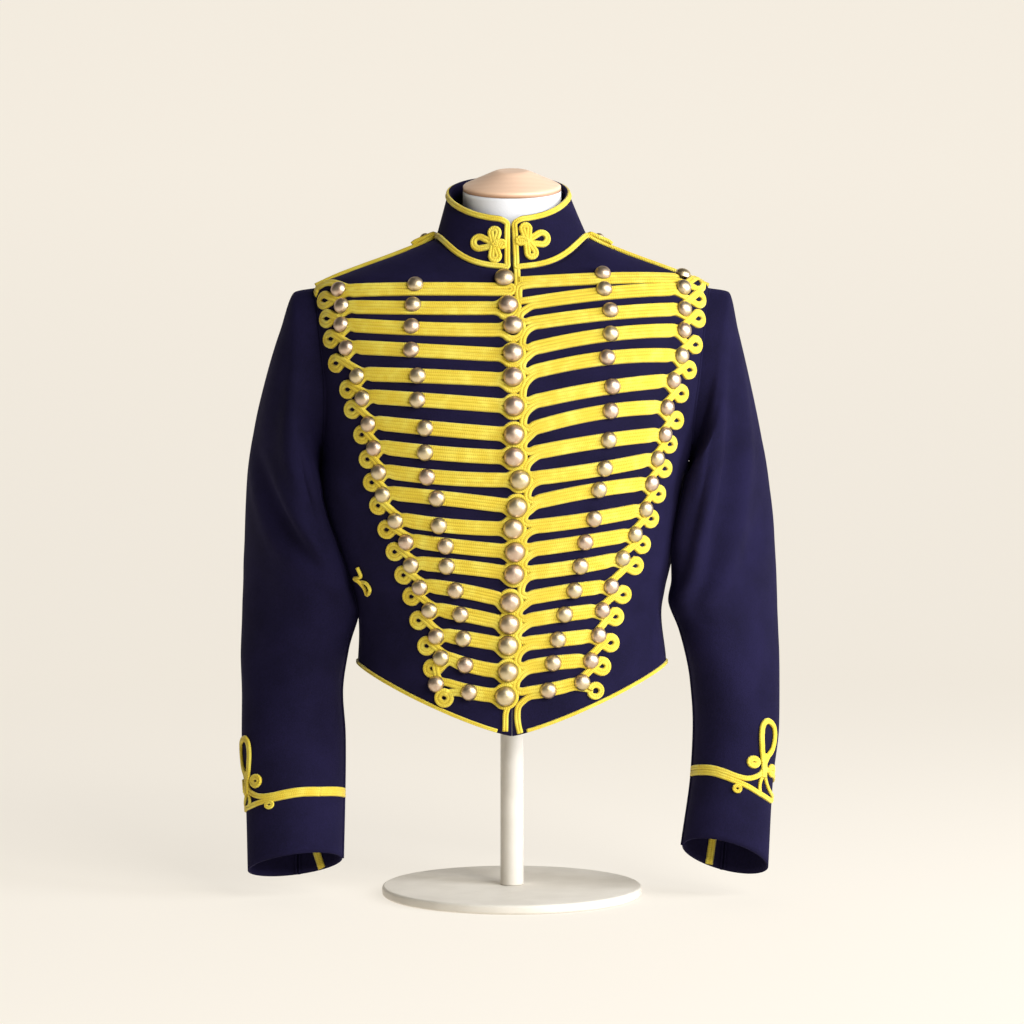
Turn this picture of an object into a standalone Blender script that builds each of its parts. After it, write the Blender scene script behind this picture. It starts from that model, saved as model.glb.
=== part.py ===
"""Hussar tunic in navy wool with yellow frogging, worn by a limbless dress form on a short stand.

Sizes are in millimetres and become metres as each mesh is made. +Z is up and the tunic faces -Y. Left and
right are those of someone who looks at its front. The origin is the middle of the stand's base, on the floor.
"""

from collections import namedtuple

import bmesh
import bpy
import numpy as np
from mathutils import Matrix, Vector

MM = 0.001
LEFT, RIGHT = -1, 1
FRONT, BACK = "front", "back"
SIDE_NAMES = {LEFT: "left", RIGHT: "right"}

# Cloth and seams
CLOTH = 2.0  # wool and its lining
COLLAR_CLOTH = 3.0  # the collar is stiffened
SEAM_PULL = 0.6  # how far an edge is drawn back from its seam line
RIDGE_PULL = 1.25  # the same on the sharper bends, at the shoulder and along a sleeve
ARMHOLE_GAP = 0.6  # between a sleeve and the armhole
COLLAR_GAP = 0.7  # between the collar and the neckline

# Body of the tunic
HEM_POINT = 181  # height of the hem at the centre front
HEM_SIDE = 250
HEM_BACK = 245
HEM_BOW = 1.25  # how much the front hem hollows between its point and the side
ARMHOLE_LOW = 470
ARMHOLE_HIGH = 654  # the shoulder tip
ARMHOLE_REACH = 55  # of the armhole, to the front and to the back
NECK_SIDE = 706  # height where the shoulder seam meets the collar
WAIST = 303
CHEST = 562
FRONT_COLUMNS = 8
BACK_COLUMNS = 6
SKIRT_ROWS, RIB_ROWS, SHOULDER_ROWS = 2, 4, 3  # hem to waist, waist to armhole, shoulder
ARM_COLUMNS = 16  # round a sleeve, and so round an armhole

# Plan of the neck at the collar's seam and at its top edge
Neck = namedtuple("Neck", "half_width front back full")
NECK_SEAM = Neck(82.5, 75, 70, 0.3)
COLLAR_TOP = Neck(64.5, 62, 66, 0)
COLLAR_LEAN = (-1.3, -4.2)  # how far its top edge stands off along X, at the front and at the sides
COLLAR_MEAN, COLLAR_TILT, COLLAR_WAVE = 756, 30, 2  # its top edge rises from the front to the back
COLLAR_CORNER = 12  # radius of the rounded front corners
COLLAR_OPENING = 1.6  # half the gap at the front

# Level sections of the body: a rounded oblong, squarer as that column grows, and drawn out on its left
Section = namedtuple("Section", "height half_width left_more front back square")
BODY = (
    Section(170, 168, 0, 120, 106, 2.3),
    Section(215, 168, 0, 120, 106, 2.3),
    Section(255, 166, 0, 118.5, 105, 2.3),
    Section(303, 161, 5, 116.5, 100, 2.3),
    Section(365, 173, 14, 121.5, 106, 2.3),
    Section(430, 184, 23, 129, 112, 2.3),
    Section(475, 192, 12, 132, 115, 2.4),
    Section(515, 200, 5, 130, 117, 2.5),
    Section(560, 208, 0, 122, 117, 2.7),
    Section(612, 213, 0, 103, 110, 2.8),
    Section(640, 213, 0, 90, 101, 2.75),
    Section(654, 211, 0, 82.5, 97, 2.7),
    Section(668, 180, 0, 73, 95, 2.5),
    Section(690, 121, 0, 59, 89, 2.3),
    Section(706, 82.5, 0, 50, 84, 2.2),
    Section(726, 45, 0, 42, 70, 2.2),
    Section(740, 25, 0, 36, 58, 2.2),
)

# Rings of each sleeve below the armhole, from the shoulder to the cuff: its outer and inner edge, the half
# depth, and how far the ring's front stands above its middle
SleeveRing = namedtuple("SleeveRing", "outer_x outer_y outer_z inner_x inner_y inner_z half_depth front_rise")
SLEEVE = {
    LEFT: (
        SleeveRing(234, 2, 650, 204.5, -2, 466, 56, 0),
        SleeveRing(251, 10, 608, 206, -12, 457, 61, 0),
        SleeveRing(268, 26, 558, 204, -34, 445, 62, 0),
        SleeveRing(282, 42, 506, 202, -45, 429, 60, 0),
        SleeveRing(291, 52, 452, 197, -45, 408, 58, 0),
        SleeveRing(294.5, 56, 392, 184, -44, 374, 56, 0),
        SleeveRing(295.5, 54, 345, 173, -40, 340, 55, 0),
        SleeveRing(296.5, 48, 308, 165, -28, 309, 55, 0),
        SleeveRing(296.5, 36, 262, 177.5, -8, 264, 54, 0),
        SleeveRing(293.5, 18, 215, 184, -4, 217, 52, 0),
        SleeveRing(291.5, -2, 168, 181, -6, 172, 48.5, 2),
        SleeveRing(284.5, -25, 102, 180, -25, 112, 41, 9),
        SleeveRing(281, -40, 30, 180.5, -40, 44, 37, 16),
    ),
    RIGHT: (
        SleeveRing(233.5, 2, 650, 193.5, -2, 467, 56, 0),
        SleeveRing(245, 10, 608, 191.5, -12, 460, 61, 0),
        SleeveRing(258.5, 26, 558, 185, -38, 450, 62, 0),
        SleeveRing(272, 42, 502, 181, -45, 433, 60, 0),
        SleeveRing(282, 52, 450, 176, -45, 408, 58, 0),
        SleeveRing(289, 56, 390, 171.5, -42, 374, 56, 0),
        SleeveRing(290.5, 54, 345, 172, -30, 342, 55, 0),
        SleeveRing(291.5, 48, 312, 169, -22, 319, 55, 0),
        SleeveRing(291.5, 36, 275, 182, -8, 284, 54, 0),
        SleeveRing(290.5, 18, 228, 193.5, -4, 232, 52, 0),
        SleeveRing(288, -2, 180, 196.5, -6, 187, 48, 2),
        SleeveRing(279, -23, 122, 193, -23, 135, 41, 9),
        SleeveRing(272.5, -40, 34, 181, -40, 58, 37, 20),
    ),
}

# Largest folds of each sleeve: hollows that run along it, by angle from the outer edge round the front
SleeveFold = namedtuple("SleeveFold", "angle first_ring last_ring depth spread")
SLEEVE_FOLDS = {
    LEFT: (SleeveFold(140, 4, 9, 4, 26), SleeveFold(60, 6, 9, 3, 24), SleeveFold(212, 1, 8, 7, 24)),
    RIGHT: (SleeveFold(148, 1, 7, 6, 24), SleeveFold(82, 1, 7, 5, 20), SleeveFold(212, 1, 8, 7, 24)),
}
TOP_SLEEVE = (-4, 8)  # columns from seam to seam
UNDER_SLEEVE = (8, 12)
CUFF_BAND_RING = 12  # the ring that the cuff's braid follows
CUFF_RING = 13

# Frogging: the three buttons of each row and the loop at its end, as x and z seen from the front, from the
# collar down
FrogRow = namedtuple("FrogRow", "centre left_mid left_end left_loop right_mid right_end right_loop")
FROG = (
    FrogRow((-8, 655), (-101, 649), (-182, 646), (-198, 636), (95, 661), (181, 662), (197, 654)),
    FrogRow((-4, 626), (-103, 627), (-178, 628), (-195, 616), (96, 644), (180, 648), (197, 637)),
    FrogRow((1, 604), (-104, 604), (-178, 608), (-190, 594), (102, 621), (180, 625), (196, 616)),
    FrogRow((1, 575), (-104, 579), (-172, 583), (-184, 568), (102, 596), (179, 602), (192, 588)),
    FrogRow((1, 550), (-97, 552), (-160, 553), (-171, 540), (98, 571), (176, 575), (185, 561)),
    FrogRow((2, 520), (-97, 527), (-154, 530), (-166, 519), (103, 541), (167, 549), (176, 536)),
    FrogRow((2, 491), (-89, 498), (-148, 503), (-160, 493), (101, 516), (160, 521), (171, 508)),
    FrogRow((2, 468), (-89, 473), (-142, 478), (-154, 467), (99, 486), (158, 493), (169, 483)),
    FrogRow((8, 445), (-87, 448), (-137, 453), (-148, 442), (95, 457), (150, 468), (161, 457)),
    FrogRow((5, 417), (-77, 426), (-133, 430), (-145, 419), (89, 435), (144, 442), (156, 431)),
    FrogRow((1, 395), (-75, 398), (-120, 403), (-131, 392), (84, 405), (138, 415), (149, 404)),
    FrogRow((3, 371), (-68, 377), (-109, 381), (-123, 371), (75, 381), (127, 389), (136, 378)),
    FrogRow((2, 348), (-67, 356), (-104, 357), (-114, 348), (70, 356), (114, 364), (128, 356)),
    FrogRow((-2, 319), (-58, 331), (-95, 334), (-105, 324), (64, 331), (102, 335), (117, 326)),
    FrogRow((-3, 296), (-53, 306), (-85, 310), (-98, 300), (54, 306), (93, 310), (108, 303)),
    FrogRow((-4, 274), (-50, 281), (-78, 283), (-89, 274), (47, 280), (89, 284), (102, 276)),
    FrogRow((-4, 247), (-48, 254), (-73, 261), (-86, 250), (42, 256), (81, 258), (93, 252)),
    FrogRow((-7, 222), (-44, 226), (-78, 234), (-70, 220), (37, 228), (72, 236), (86, 227)),
)
# How far the braid of the top rows runs below its centre, middle and end button
ROW_SAG = {
    LEFT: {1: (11, 4, 1), 2: (0, 2, 0)},
    RIGHT: {1: (4.5, 4, 2), 2: (1, 4, 1), 3: (0, 2.5, 0)},
}
NO_SAG = (0, 0, 0)
BRAID_OFF = 1.0  # clear of the cloth
BRAID_HIGH = 2.2
EDGE_HIGH = 1.9  # the edge braid is a little thinner than the rows that cross it
ROW_WIDTH = 14.5  # two soutache braids, side by side
EDGE_WIDTH = 7.0
EDGE_OUT = 12.0  # the right edge braid's middle, from the centre buttons
EDGE_IN = 7.5  # the left edge braid's middle, from the centre line
EDGE_END = 6.2  # both, at the hem's point
EDGE_TOP, EDGE_FOOT = 662, 193
STATION_GAP = 4  # the least step between two stations of a row
TAIL_SHARE = 0.7  # how far a row runs on from its end button towards its loop
LOOP_RADIUS, LOOP_STRAND, LOOP_FLAT = 6.4, 3.1, 0.42
LOOP_TURN = 0.2  # radians
LOOP_LIFT = 1.5  # of a loop's middle above the underside of the braid
DOME_LIFT = 0.4  # of a small button's underside above the underside of the braid
CENTRE_GAP = 0.7  # between a centre button and the braid
TIP_LOOP = (-194, 649)  # end of the left shoulder cord
ROW_OVER_EDGE = 2  # how far a right row runs in past the middle of the edge braid
ROW_IN = 6  # how far a left row runs on past the middle of its centre button
BUTTON_SMALL = (8.7, 4.2)  # radius and half height
BUTTON_CENTRE = (10.4, 4.6)
BUTTON_SHOULDER = (5.5, 3.2)
SHOULDER_BUTTON_AT = 702  # height of the place on the shoulder seam under it

# Other trim
COLLAR_BRAID_WIDTH = 7.0
CollarLoop = namedtuple("CollarLoop", "x z radius")
COLLAR_KNOT = (CollarLoop(32, 696, 9.8), CollarLoop(18, 705.3, 6.9), CollarLoop(18.6, 683.4, 6.8))
COLLAR_KNOT_MIDDLE = CollarLoop(21, 694.5, 6)
COLLAR_KNOT_SHIFT = -1  # of both knots, with the collar's lean
COLLAR_KNOT_OFF = 2.6  # from the collar to the middle of a knot's strands
BRAID_LEVELS = (0.08, 0.935)  # of the collar's two rows of braid, as shares of its height
CORD_RADIUS = 2.7
HEM_CORD_RADIUS = 1.6
CORD_OFF = 1.0  # clear of the cloth
CUFF_BAND_WIDTH = 10.5
CUFF_BAND_OFF = 1.1  # clear of the sleeve
CUFF_LOOP_OFF = 3.1  # from the sleeve to the middle of a knot's strands
CUFF_STRAND = 2.6
CUFF_KNOT_ANGLE = {LEFT: 4, RIGHT: 42}  # where the knot stands on the sleeve
KnotLoop = namedtuple("KnotLoop", "across up half_width half_length")
CUFF_KNOT = (
    KnotLoop(0, 38, 9, 30),
    KnotLoop(-9, 11, 7, 7),
    KnotLoop(9, 11, 7, 7),
    KnotLoop(-18, -9, 6, 6),
    KnotLoop(0, -9, 6, 6),
)
TAPE_WIDTH, TAPE_THICK, TAPE_LENGTH, TAPE_ANGLE = 8.0, 1.0, 50, 247.5
TAPE_OFF = 1.3  # clear of the sleeve, inside it
WAIST_KNOT_AT = (-157, 339)
WAIST_KNOT = ((-6, 14), (-1, 6), (-8, 5), (-10, 1), (-7, -3), (0, -2), (5, -8), (8, -15))
WAIST_KNOT_RADIUS = 1.8

# Dress form and its stand
FormSection = namedtuple("FormSection", "height half_width front back")
FORM = (
    FormSection(258, 154, 106, 93),
    FormSection(303, 149, 102, 88),
    FormSection(365, 160, 110, 94),
    FormSection(430, 171, 118, 100),
    FormSection(475, 177, 120, 103),
    FormSection(515, 180, 118, 105),
    FormSection(560, 181, 110, 105),
    FormSection(612, 179, 91, 98),
    FormSection(640, 168, 76, 88),
    FormSection(656, 146, 66, 82),
    FormSection(672, 110, 58, 76),
    FormSection(688, 79, 54, 69),
    FormSection(702, 61, 52, 60),
    FormSection(718, 54, 52.5, 54.5),
    FormSection(759.4, 53, 50.6, 50.6),
)
FORM_COLUMNS = 16
FORM_SQUARE = 2.2
NECK_LEAN, NECK_LEAN_FROM = 0.31, 702  # rise of the neck's top from front to back, and where it begins
CAP_FOOT = 759.8
# Radius, and height above the cap's foot
CAP_PROFILE = ((0, 21.2), (17, 21), (21, 19.6), (38, 11.8), (50, 6.2), (53, 4.2), (53, 0))
POLE_RADIUS = 12.5
BASE_RADIUS, BASE_HIGH, BASE_EDGE = 140, 10, 3
STAND_GAP = 0.3

Finish = namedtuple("Finish", "colour roughness metallic")
FINISHES = {
    "navy_wool": Finish((0.010, 0.008, 0.040), 0.92, 0.0),
    "yellow_braid": Finish((0.83, 0.62, 0.03), 0.75, 0.0),
    "brass": Finish((0.56, 0.40, 0.22), 0.34, 1.0),
    "white_jersey": Finish((0.80, 0.80, 0.80), 0.85, 0.0),
    "turned_wood": Finish((0.55, 0.30, 0.15), 0.55, 0.0),
    "cream_paint": Finish((0.80, 0.75, 0.66), 0.45, 0.0),
}


def new_collection(name, parent):
    made = bpy.data.collections.new(name)
    parent.children.link(made)
    return made


def material(name):
    """Principled material of the named finish, made the first time that it is asked for."""
    made = bpy.data.materials.get(name)
    if made is None:
        made = bpy.data.materials.new(name)
        made.use_nodes = True
        shader = made.node_tree.nodes["Principled BSDF"]
        shader.inputs["Base Color"].default_value = (*FINISHES[name].colour, 1)
        shader.inputs["Roughness"].default_value = FINISHES[name].roughness
        shader.inputs["Metallic"].default_value = FINISHES[name].metallic
    return made


def add_object(name, mesh, finish):
    """Link a mesh as a part of the tunic, with its finish."""
    made = bpy.data.objects.new(name, mesh)
    PARTS.objects.link(made)
    if not mesh.materials:
        mesh.materials.append(material(finish))
    mesh.shade_smooth()
    return made


def eased(at, knots, values):
    """Smooth curve through a table's values; harmonic slopes keep it from overshooting a knot."""
    knots, values = np.asarray(knots, float), np.asarray(values, float)
    steps = np.diff(values) / np.diff(knots)
    same_way = steps[:-1] * steps[1:] > 0
    total = np.where(same_way, steps[:-1] + steps[1:], 1)
    inner = np.where(same_way, 2 * steps[:-1] * steps[1:] / total, 0)
    slopes = np.concatenate([steps[:1], inner, steps[-1:]])
    at = np.clip(at, knots[0], knots[-1])
    i = np.clip(np.searchsorted(knots, at, side="right") - 1, 0, len(knots) - 2)
    span = knots[i + 1] - knots[i]
    t = (at - knots[i]) / span
    ends = (1 + 2 * t) * (1 - t) ** 2 * values[i] + t * t * (3 - 2 * t) * values[i + 1]
    return ends + span * t * (1 - t) * ((1 - t) * slopes[i] - t * slopes[i + 1])


def table_column(table, name):
    return [getattr(row, name) for row in table]


def body_size(height, name):
    return eased(height, table_column(BODY, "height"), table_column(BODY, name))


def half_width(height, side):
    """Half width of the body on one side."""
    return body_size(height, "half_width") + np.where(np.less(side, 0), body_size(height, "left_more"), 0)


def body_depth(height, facing):
    return body_size(height, "front" if facing == FRONT else "back")


def body_point(turn, height, side, facing):
    """Point of the body's surface, from turn 0 at its centre line to 90 degrees at its side."""
    turn, height = np.broadcast_arrays(turn, height)
    power = 2 / body_size(height, "square")
    x = half_width(height, side) * np.sin(turn) ** power
    y = body_depth(height, facing) * np.clip(np.cos(turn), 0, 1) ** power
    return np.stack([side * x, -y if facing == FRONT else y, height], axis=-1)


def body_x(y, height, side, facing):
    """Half width of the body on one side, at a depth."""
    power = body_size(height, "square")
    share = np.clip(np.abs(y) / body_depth(height, facing), 0, 1)
    return half_width(height, side) * (1 - share**power) ** (1 / power)


def front_surface(x, z):
    """Point of the front at a place as seen from the front."""
    x, z = np.broadcast_arrays(np.asarray(x, float), np.asarray(z, float))
    power = body_size(z, "square")
    share = np.clip(np.abs(x) / half_width(z, x), 0, 0.999)
    y = -body_size(z, "front") * (1 - share**power) ** (1 / power)
    return np.stack([x, y, z], axis=-1)


def with_normals(surface, u, v, step=0.5):
    """Points of a surface and its unit normals there, along the cross product of its u and v directions."""
    along_u = surface(u + step, v) - surface(u - step, v)
    along_v = surface(u, v + step) - surface(u, v - step)
    normals = np.cross(along_u, along_v)
    return surface(u, v), normals / np.linalg.norm(normals, axis=-1, keepdims=True)


def bisect(outside, low, high):
    """Heights where a test turns false, by halving the span 40 times."""
    for _ in range(40):
        middle = (low + high) / 2
        test = outside(middle)
        low, high = np.where(test, middle, low), np.where(test, high, middle)
    return (low + high) / 2


def neck_oval(angle, neck):
    """Plan of the neck, by angle from the front, where it is fuller than an oval by a share."""
    depth = np.where(np.cos(angle) > 0, neck.front * (1 + neck.full * np.sin(angle) ** 2), neck.back)
    return np.stack([neck.half_width * np.sin(angle), -depth * np.cos(angle)], axis=-1)


def neckline_height(angle):
    """Height of the body's surface on the neck oval at the collar's seam."""
    x, y = np.moveaxis(neck_oval(angle, NECK_SEAM), -1, 0)

    def inside(height):
        depth = np.where(y < 0, body_depth(height, FRONT), body_depth(height, BACK))
        power = body_size(height, "square")
        return (np.abs(x) / body_size(height, "half_width")) ** power + (np.abs(y) / depth) ** power < 1

    return bisect(inside, CHEST * np.ones_like(x), BODY[-1].height * np.ones_like(x))


def hem_height(share, facing):
    """Height of the hem; share is how far out the place is, from the centre line to the side."""
    if facing == FRONT:
        return HEM_POINT + (HEM_SIDE - HEM_POINT) * share**HEM_BOW
    return HEM_BACK + (HEM_SIDE - HEM_BACK) * share


def armhole_reach(height):
    middle, half = (ARMHOLE_HIGH + ARMHOLE_LOW) / 2, (ARMHOLE_HIGH - ARMHOLE_LOW) / 2
    return ARMHOLE_REACH * np.sqrt(np.clip(1 - ((height - middle) / half) ** 2, 0, 1))


def armhole_heights():
    """Heights round an armhole, a row for each of a sleeve's columns."""
    middle, half = (ARMHOLE_HIGH + ARMHOLE_LOW) / 2, (ARMHOLE_HIGH - ARMHOLE_LOW) / 2
    return middle - half * np.cos(np.linspace(0, np.pi, ARM_COLUMNS // 2 + 1))


def side_rows():
    """Heights of a panel's rows at its outer edge: side seam, armhole, shoulder seam."""
    skirt = np.linspace(HEM_SIDE, WAIST, SKIRT_ROWS + 1)[:-1]
    ribs = np.linspace(WAIST, ARMHOLE_LOW, RIB_ROWS + 1)[:-1]
    shoulder = np.linspace(ARMHOLE_HIGH, NECK_SIDE, SHOULDER_ROWS + 1)[1:]
    return np.concatenate([skirt, ribs, armhole_heights(), shoulder])


def drawn_back(grid, edge, inner, amount):
    """Move a column of a grid towards its inner neighbour, to leave the seam's gap."""
    way = grid[:, inner] - grid[:, edge]
    way /= np.linalg.norm(way, axis=-1, keepdims=True)
    grid[:, edge] += way * np.reshape(amount, (-1, 1))


def panel_grid(side, facing, columns):
    """Outer points of a front or back: rows from hem to neck, columns from the centre line outwards."""
    rows, share = side_rows(), np.linspace(0, 1, columns + 1)
    power = 2 / body_size(HEM_SIDE, "square")
    low = hem_height(np.sin(share * np.pi / 2) ** power, facing)
    neck_angle = share * np.pi / 2 if facing == FRONT else np.pi - share * np.pi / 2
    high = neckline_height(neck_angle)
    neck_x = np.clip(NECK_SEAM.half_width * np.sin(neck_angle) / body_size(high, "half_width"), 0, 1)
    neck_share = np.arcsin(neck_x ** (body_size(high, "square") / 2)) / (np.pi / 2)
    skirt = np.clip((WAIST - rows) / (WAIST - HEM_SIDE), 0, 1)[:, None]
    yoke = np.clip((rows - CHEST) / (NECK_SIDE - CHEST), 0, 1)[:, None]
    heights = rows[:, None] + skirt * (low - HEM_SIDE) + yoke * (high - NECK_SIDE)
    gathered = np.clip((rows - ARMHOLE_LOW) / (NECK_SIDE - ARMHOLE_LOW), 0, 1)[:, None] ** 2
    reach = armhole_reach(rows) / body_depth(rows, facing)
    edge_turn = np.arccos(reach ** (body_size(rows, "square") / 2))[:, None]
    turns = edge_turn * (share + gathered * (neck_share - share))
    grid = body_point(turns, heights, side, facing)
    seam = np.where(rows <= ARMHOLE_LOW, SEAM_PULL, np.where(rows >= ARMHOLE_HIGH, RIDGE_PULL, 0))
    drawn_back(grid, -1, -2, seam)
    drawn_back(grid, 0, 1, SEAM_PULL)
    return grid


def grid_mesh(name, grid, flip=False, closed=False):
    """Open sheet through a grid of points; closed joins its last row to its first."""
    rows, columns = grid.shape[:2]
    row, column = np.meshgrid(np.arange(rows - (not closed)), np.arange(columns - 1), indexing="ij")
    below, above = row * columns + column, (row + 1) % rows * columns + column
    faces = np.stack([below, below + 1, above + 1, above], axis=-1).reshape(-1, 4)
    mesh = bpy.data.meshes.new(name)
    mesh.from_pydata((grid.reshape(-1, 3) * MM).tolist(), [], (faces[:, ::-1] if flip else faces).tolist())
    return mesh


def sheet(name, grid, finish, thick, outward=False, flip=False, closed=False):
    """Wall of one thickness on a grid, inside it or outside it."""
    made = add_object(name, grid_mesh(name, grid, flip, closed), finish)
    wall = made.modifiers.new("wall", "SOLIDIFY")
    wall.thickness = thick * MM
    wall.offset = 1 if outward else -1
    return made


def ribbon(name, points, normals, width, closed=False, high=BRAID_HIGH, off=BRAID_OFF):
    """Flat braid along a path on a surface, raised off it."""
    if closed:
        along = np.roll(points, -1, axis=0) - np.roll(points, 1, axis=0)
    else:
        along = np.gradient(points, axis=0)
    across = np.cross(along, normals)
    across *= width / 2 / np.linalg.norm(across, axis=-1, keepdims=True)
    grid = np.stack([points - across, points + across], axis=1) + off * normals[:, None]
    return sheet(name, grid, "yellow_braid", high, outward=True, closed=closed)


def facing_matrix(point, normal, turn=0.0):
    """Place and turn that put a piece's +Z on a surface's normal."""
    stand = Vector(normal).to_track_quat("Z", "Y").to_matrix().to_4x4()
    return Matrix.Translation(Vector(point) * MM) @ stand @ Matrix.Rotation(turn, 4, "Z")


def button_mesh(name, radius, half_height, segments, rings):
    """Domed button: a flattened ball."""
    shape = bmesh.new()
    bmesh.ops.create_uvsphere(shape, u_segments=segments, v_segments=rings, radius=MM)
    bmesh.ops.scale(shape, vec=(radius, radius, half_height), verts=shape.verts)
    mesh = bpy.data.meshes.new(name)
    shape.to_mesh(mesh)
    shape.free()
    return mesh


def loop_mesh(name, half_width, half_length, strand=LOOP_STRAND):
    """Flattened ring of braid, longer than wide where the half length says so."""
    bpy.ops.mesh.primitive_torus_add(
        major_radius=LOOP_RADIUS * MM, minor_radius=strand * MM, major_segments=8, minor_segments=3
    )
    ring = bpy.context.object
    mesh = ring.data
    mesh.name = name
    outer = LOOP_RADIUS + strand
    mesh.transform(Matrix.Diagonal((half_width / outer, half_length / outer, LOOP_FLAT, 1)))
    bpy.data.objects.remove(ring)
    return mesh


def disc_mesh(name, radius, high, segments=8):
    shape = bmesh.new()
    bmesh.ops.create_cone(
        shape, cap_ends=True, segments=segments, radius1=radius * MM, radius2=radius * MM, depth=high * MM
    )
    mesh = bpy.data.meshes.new(name)
    shape.to_mesh(mesh)
    shape.free()
    return mesh


def placed(name, mesh, finish, matrix):
    made = add_object(name, mesh, finish)
    made.matrix_world = matrix
    return made


def fuse(name, pieces):
    """Join overlapping pieces into one solid, which keeps the first piece's mesh and carries the union."""
    whole, *others = pieces
    whole.name = name
    group = new_collection(name + "_pieces", CUTTERS)
    for piece in others:
        PARTS.objects.unlink(piece)
        group.objects.link(piece)
        piece.hide_render = True
        piece.display_type = "WIRE"
    union = whole.modifiers.new("union", "BOOLEAN")
    union.operation = "UNION"
    union.operand_type = "COLLECTION"
    union.collection = group
    return whole


def cord(name, points, radius):
    """Round cord along a list of points."""
    curve = bpy.data.curves.new(name, "CURVE")
    curve.dimensions = "3D"
    curve.bevel_depth = radius * MM
    curve.bevel_resolution = 2
    curve.use_fill_caps = True
    spline = curve.splines.new("POLY")
    spline.points.add(len(points) - 1)
    for knot, place in zip(spline.points, points):
        knot.co = (*(Vector(place) * MM), 1)
    made = bpy.data.objects.new(name, curve)
    PARTS.objects.link(made)
    curve.materials.append(material("yellow_braid"))
    return made


# Fronts and backs
def make_body():
    for side in (LEFT, RIGHT):
        front = panel_grid(side, FRONT, FRONT_COLUMNS)
        sheet("front_" + SIDE_NAMES[side], front, "navy_wool", CLOTH, flip=side == LEFT)
        back = panel_grid(side, BACK, BACK_COLUMNS)
        sheet("back_" + SIDE_NAMES[side], back, "navy_wool", CLOTH, flip=side == RIGHT)


# Sleeves
def armhole_ring(side, angles):
    """Points round the armhole, a gap's width outside it."""
    middle, half = (ARMHOLE_HIGH + ARMHOLE_LOW) / 2, (ARMHOLE_HIGH - ARMHOLE_LOW) / 2
    z = middle + half * np.cos(angles)
    y = -ARMHOLE_REACH * np.sin(angles)
    x = np.where(y < 0, body_x(y, z, side, FRONT), body_x(y, z, side, BACK)) + ARMHOLE_GAP
    return np.stack([side * x, y, z], axis=-1)


def fold_depth(side, ring, degrees):
    """How far the folds draw a sleeve in: bell-shaped across each fold, and faded at its ends."""
    total = np.zeros_like(degrees)
    for fold in SLEEVE_FOLDS[side]:
        along = np.clip((ring - fold.first_ring) / (fold.last_ring - fold.first_ring), 0, 1)
        across = (degrees - fold.angle) / fold.spread
        total += fold.depth * np.sin(np.pi * along) * np.exp(-(across**2))
    return total


def sleeve_grid(side):
    """Outer points of a whole sleeve: a row for each ring, a column for each angle, the first repeated."""
    degrees = np.linspace(0, 360, ARM_COLUMNS + 1)
    angles = np.radians(degrees)
    rows = [armhole_ring(side, angles)]
    for number, ring in enumerate(SLEEVE[side], 1):
        outer = np.array([ring.outer_x, ring.outer_y, ring.outer_z])
        inner = np.array([ring.inner_x, ring.inner_y, ring.inner_z])
        forward = np.array([0, -ring.half_depth, ring.front_rise])
        spoke = np.cos(angles)[:, None] * (outer - inner) / 2 + np.sin(angles)[:, None] * forward
        length = np.linalg.norm(spoke, axis=-1, keepdims=True)
        spoke *= 1 - fold_depth(side, number, degrees)[:, None] / length
        rows.append(((outer + inner) / 2 + spoke) * (side, 1, 1))
    return np.array(rows)


def make_sleeves(grids):
    for side, grid in grids.items():
        for name, (first, last) in (("top", TOP_SLEEVE), ("under", UNDER_SLEEVE)):
            half = grid[:, np.arange(first, last + 1) % ARM_COLUMNS].copy()
            drawn_back(half, 0, 1, RIDGE_PULL)
            drawn_back(half, -1, -2, RIDGE_PULL)
            sheet(f"sleeve_{name}_{SIDE_NAMES[side]}", half, "navy_wool", CLOTH, flip=side == LEFT)


def on_sleeve(grid, side):
    """Surface of a sleeve by angle in degrees and ring number, straight between its points."""

    def surface(degrees, ring):
        column = np.asarray(degrees, float) / (360 / ARM_COLUMNS) % ARM_COLUMNS
        ring = np.clip(np.asarray(ring, float), 0, len(grid) - 1.001)
        c, r = np.floor(column).astype(int), np.floor(ring).astype(int)
        across, down = (column - c)[..., None], (ring - r)[..., None]
        upper = grid[r, c] * (1 - across) + grid[r, c + 1] * across
        lower = grid[r + 1, c] * (1 - across) + grid[r + 1, c + 1] * across
        return upper * (1 - down) + lower * down

    def framed(degrees, ring):
        points, normals = with_normals(surface, np.asarray(degrees, float), np.asarray(ring, float), 0.02)
        return points, normals * side

    return framed


# Collar
def collar_span(angle):
    """Heights of the collar's seam and of its top edge, with the rounded corners at the front."""
    top_x = neck_oval(angle, COLLAR_TOP)[..., 0]
    from_edge = np.where(np.cos(angle) > 0, np.abs(top_x) - COLLAR_OPENING, COLLAR_CORNER)
    short = np.clip(COLLAR_CORNER - from_edge, 0, COLLAR_CORNER)
    top = COLLAR_MEAN - COLLAR_TILT * np.cos(angle) - COLLAR_WAVE * np.cos(2 * angle)
    return neckline_height(angle) + COLLAR_GAP, top - COLLAR_CORNER + np.sqrt(COLLAR_CORNER**2 - short**2)


def collar_lean(angle):
    front, side = COLLAR_LEAN
    return front + (side - front) * np.sin(angle) ** 2


def collar_surface(degrees, level):
    """Point of the collar by degrees from the front and by level, from 0 at its seam to 1 at its top edge."""
    degrees, level = np.broadcast_arrays(np.asarray(degrees, float), np.asarray(level, float))
    angle = np.radians(degrees)
    seam, top = neck_oval(angle, NECK_SEAM), neck_oval(angle, COLLAR_TOP)
    plan = seam + level[..., None] * (top - seam)
    plan[..., 0] += level * collar_lean(angle)
    low, high = collar_span(angle)
    return np.concatenate([plan, (low + level * (high - low))[..., None]], axis=-1)


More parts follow.
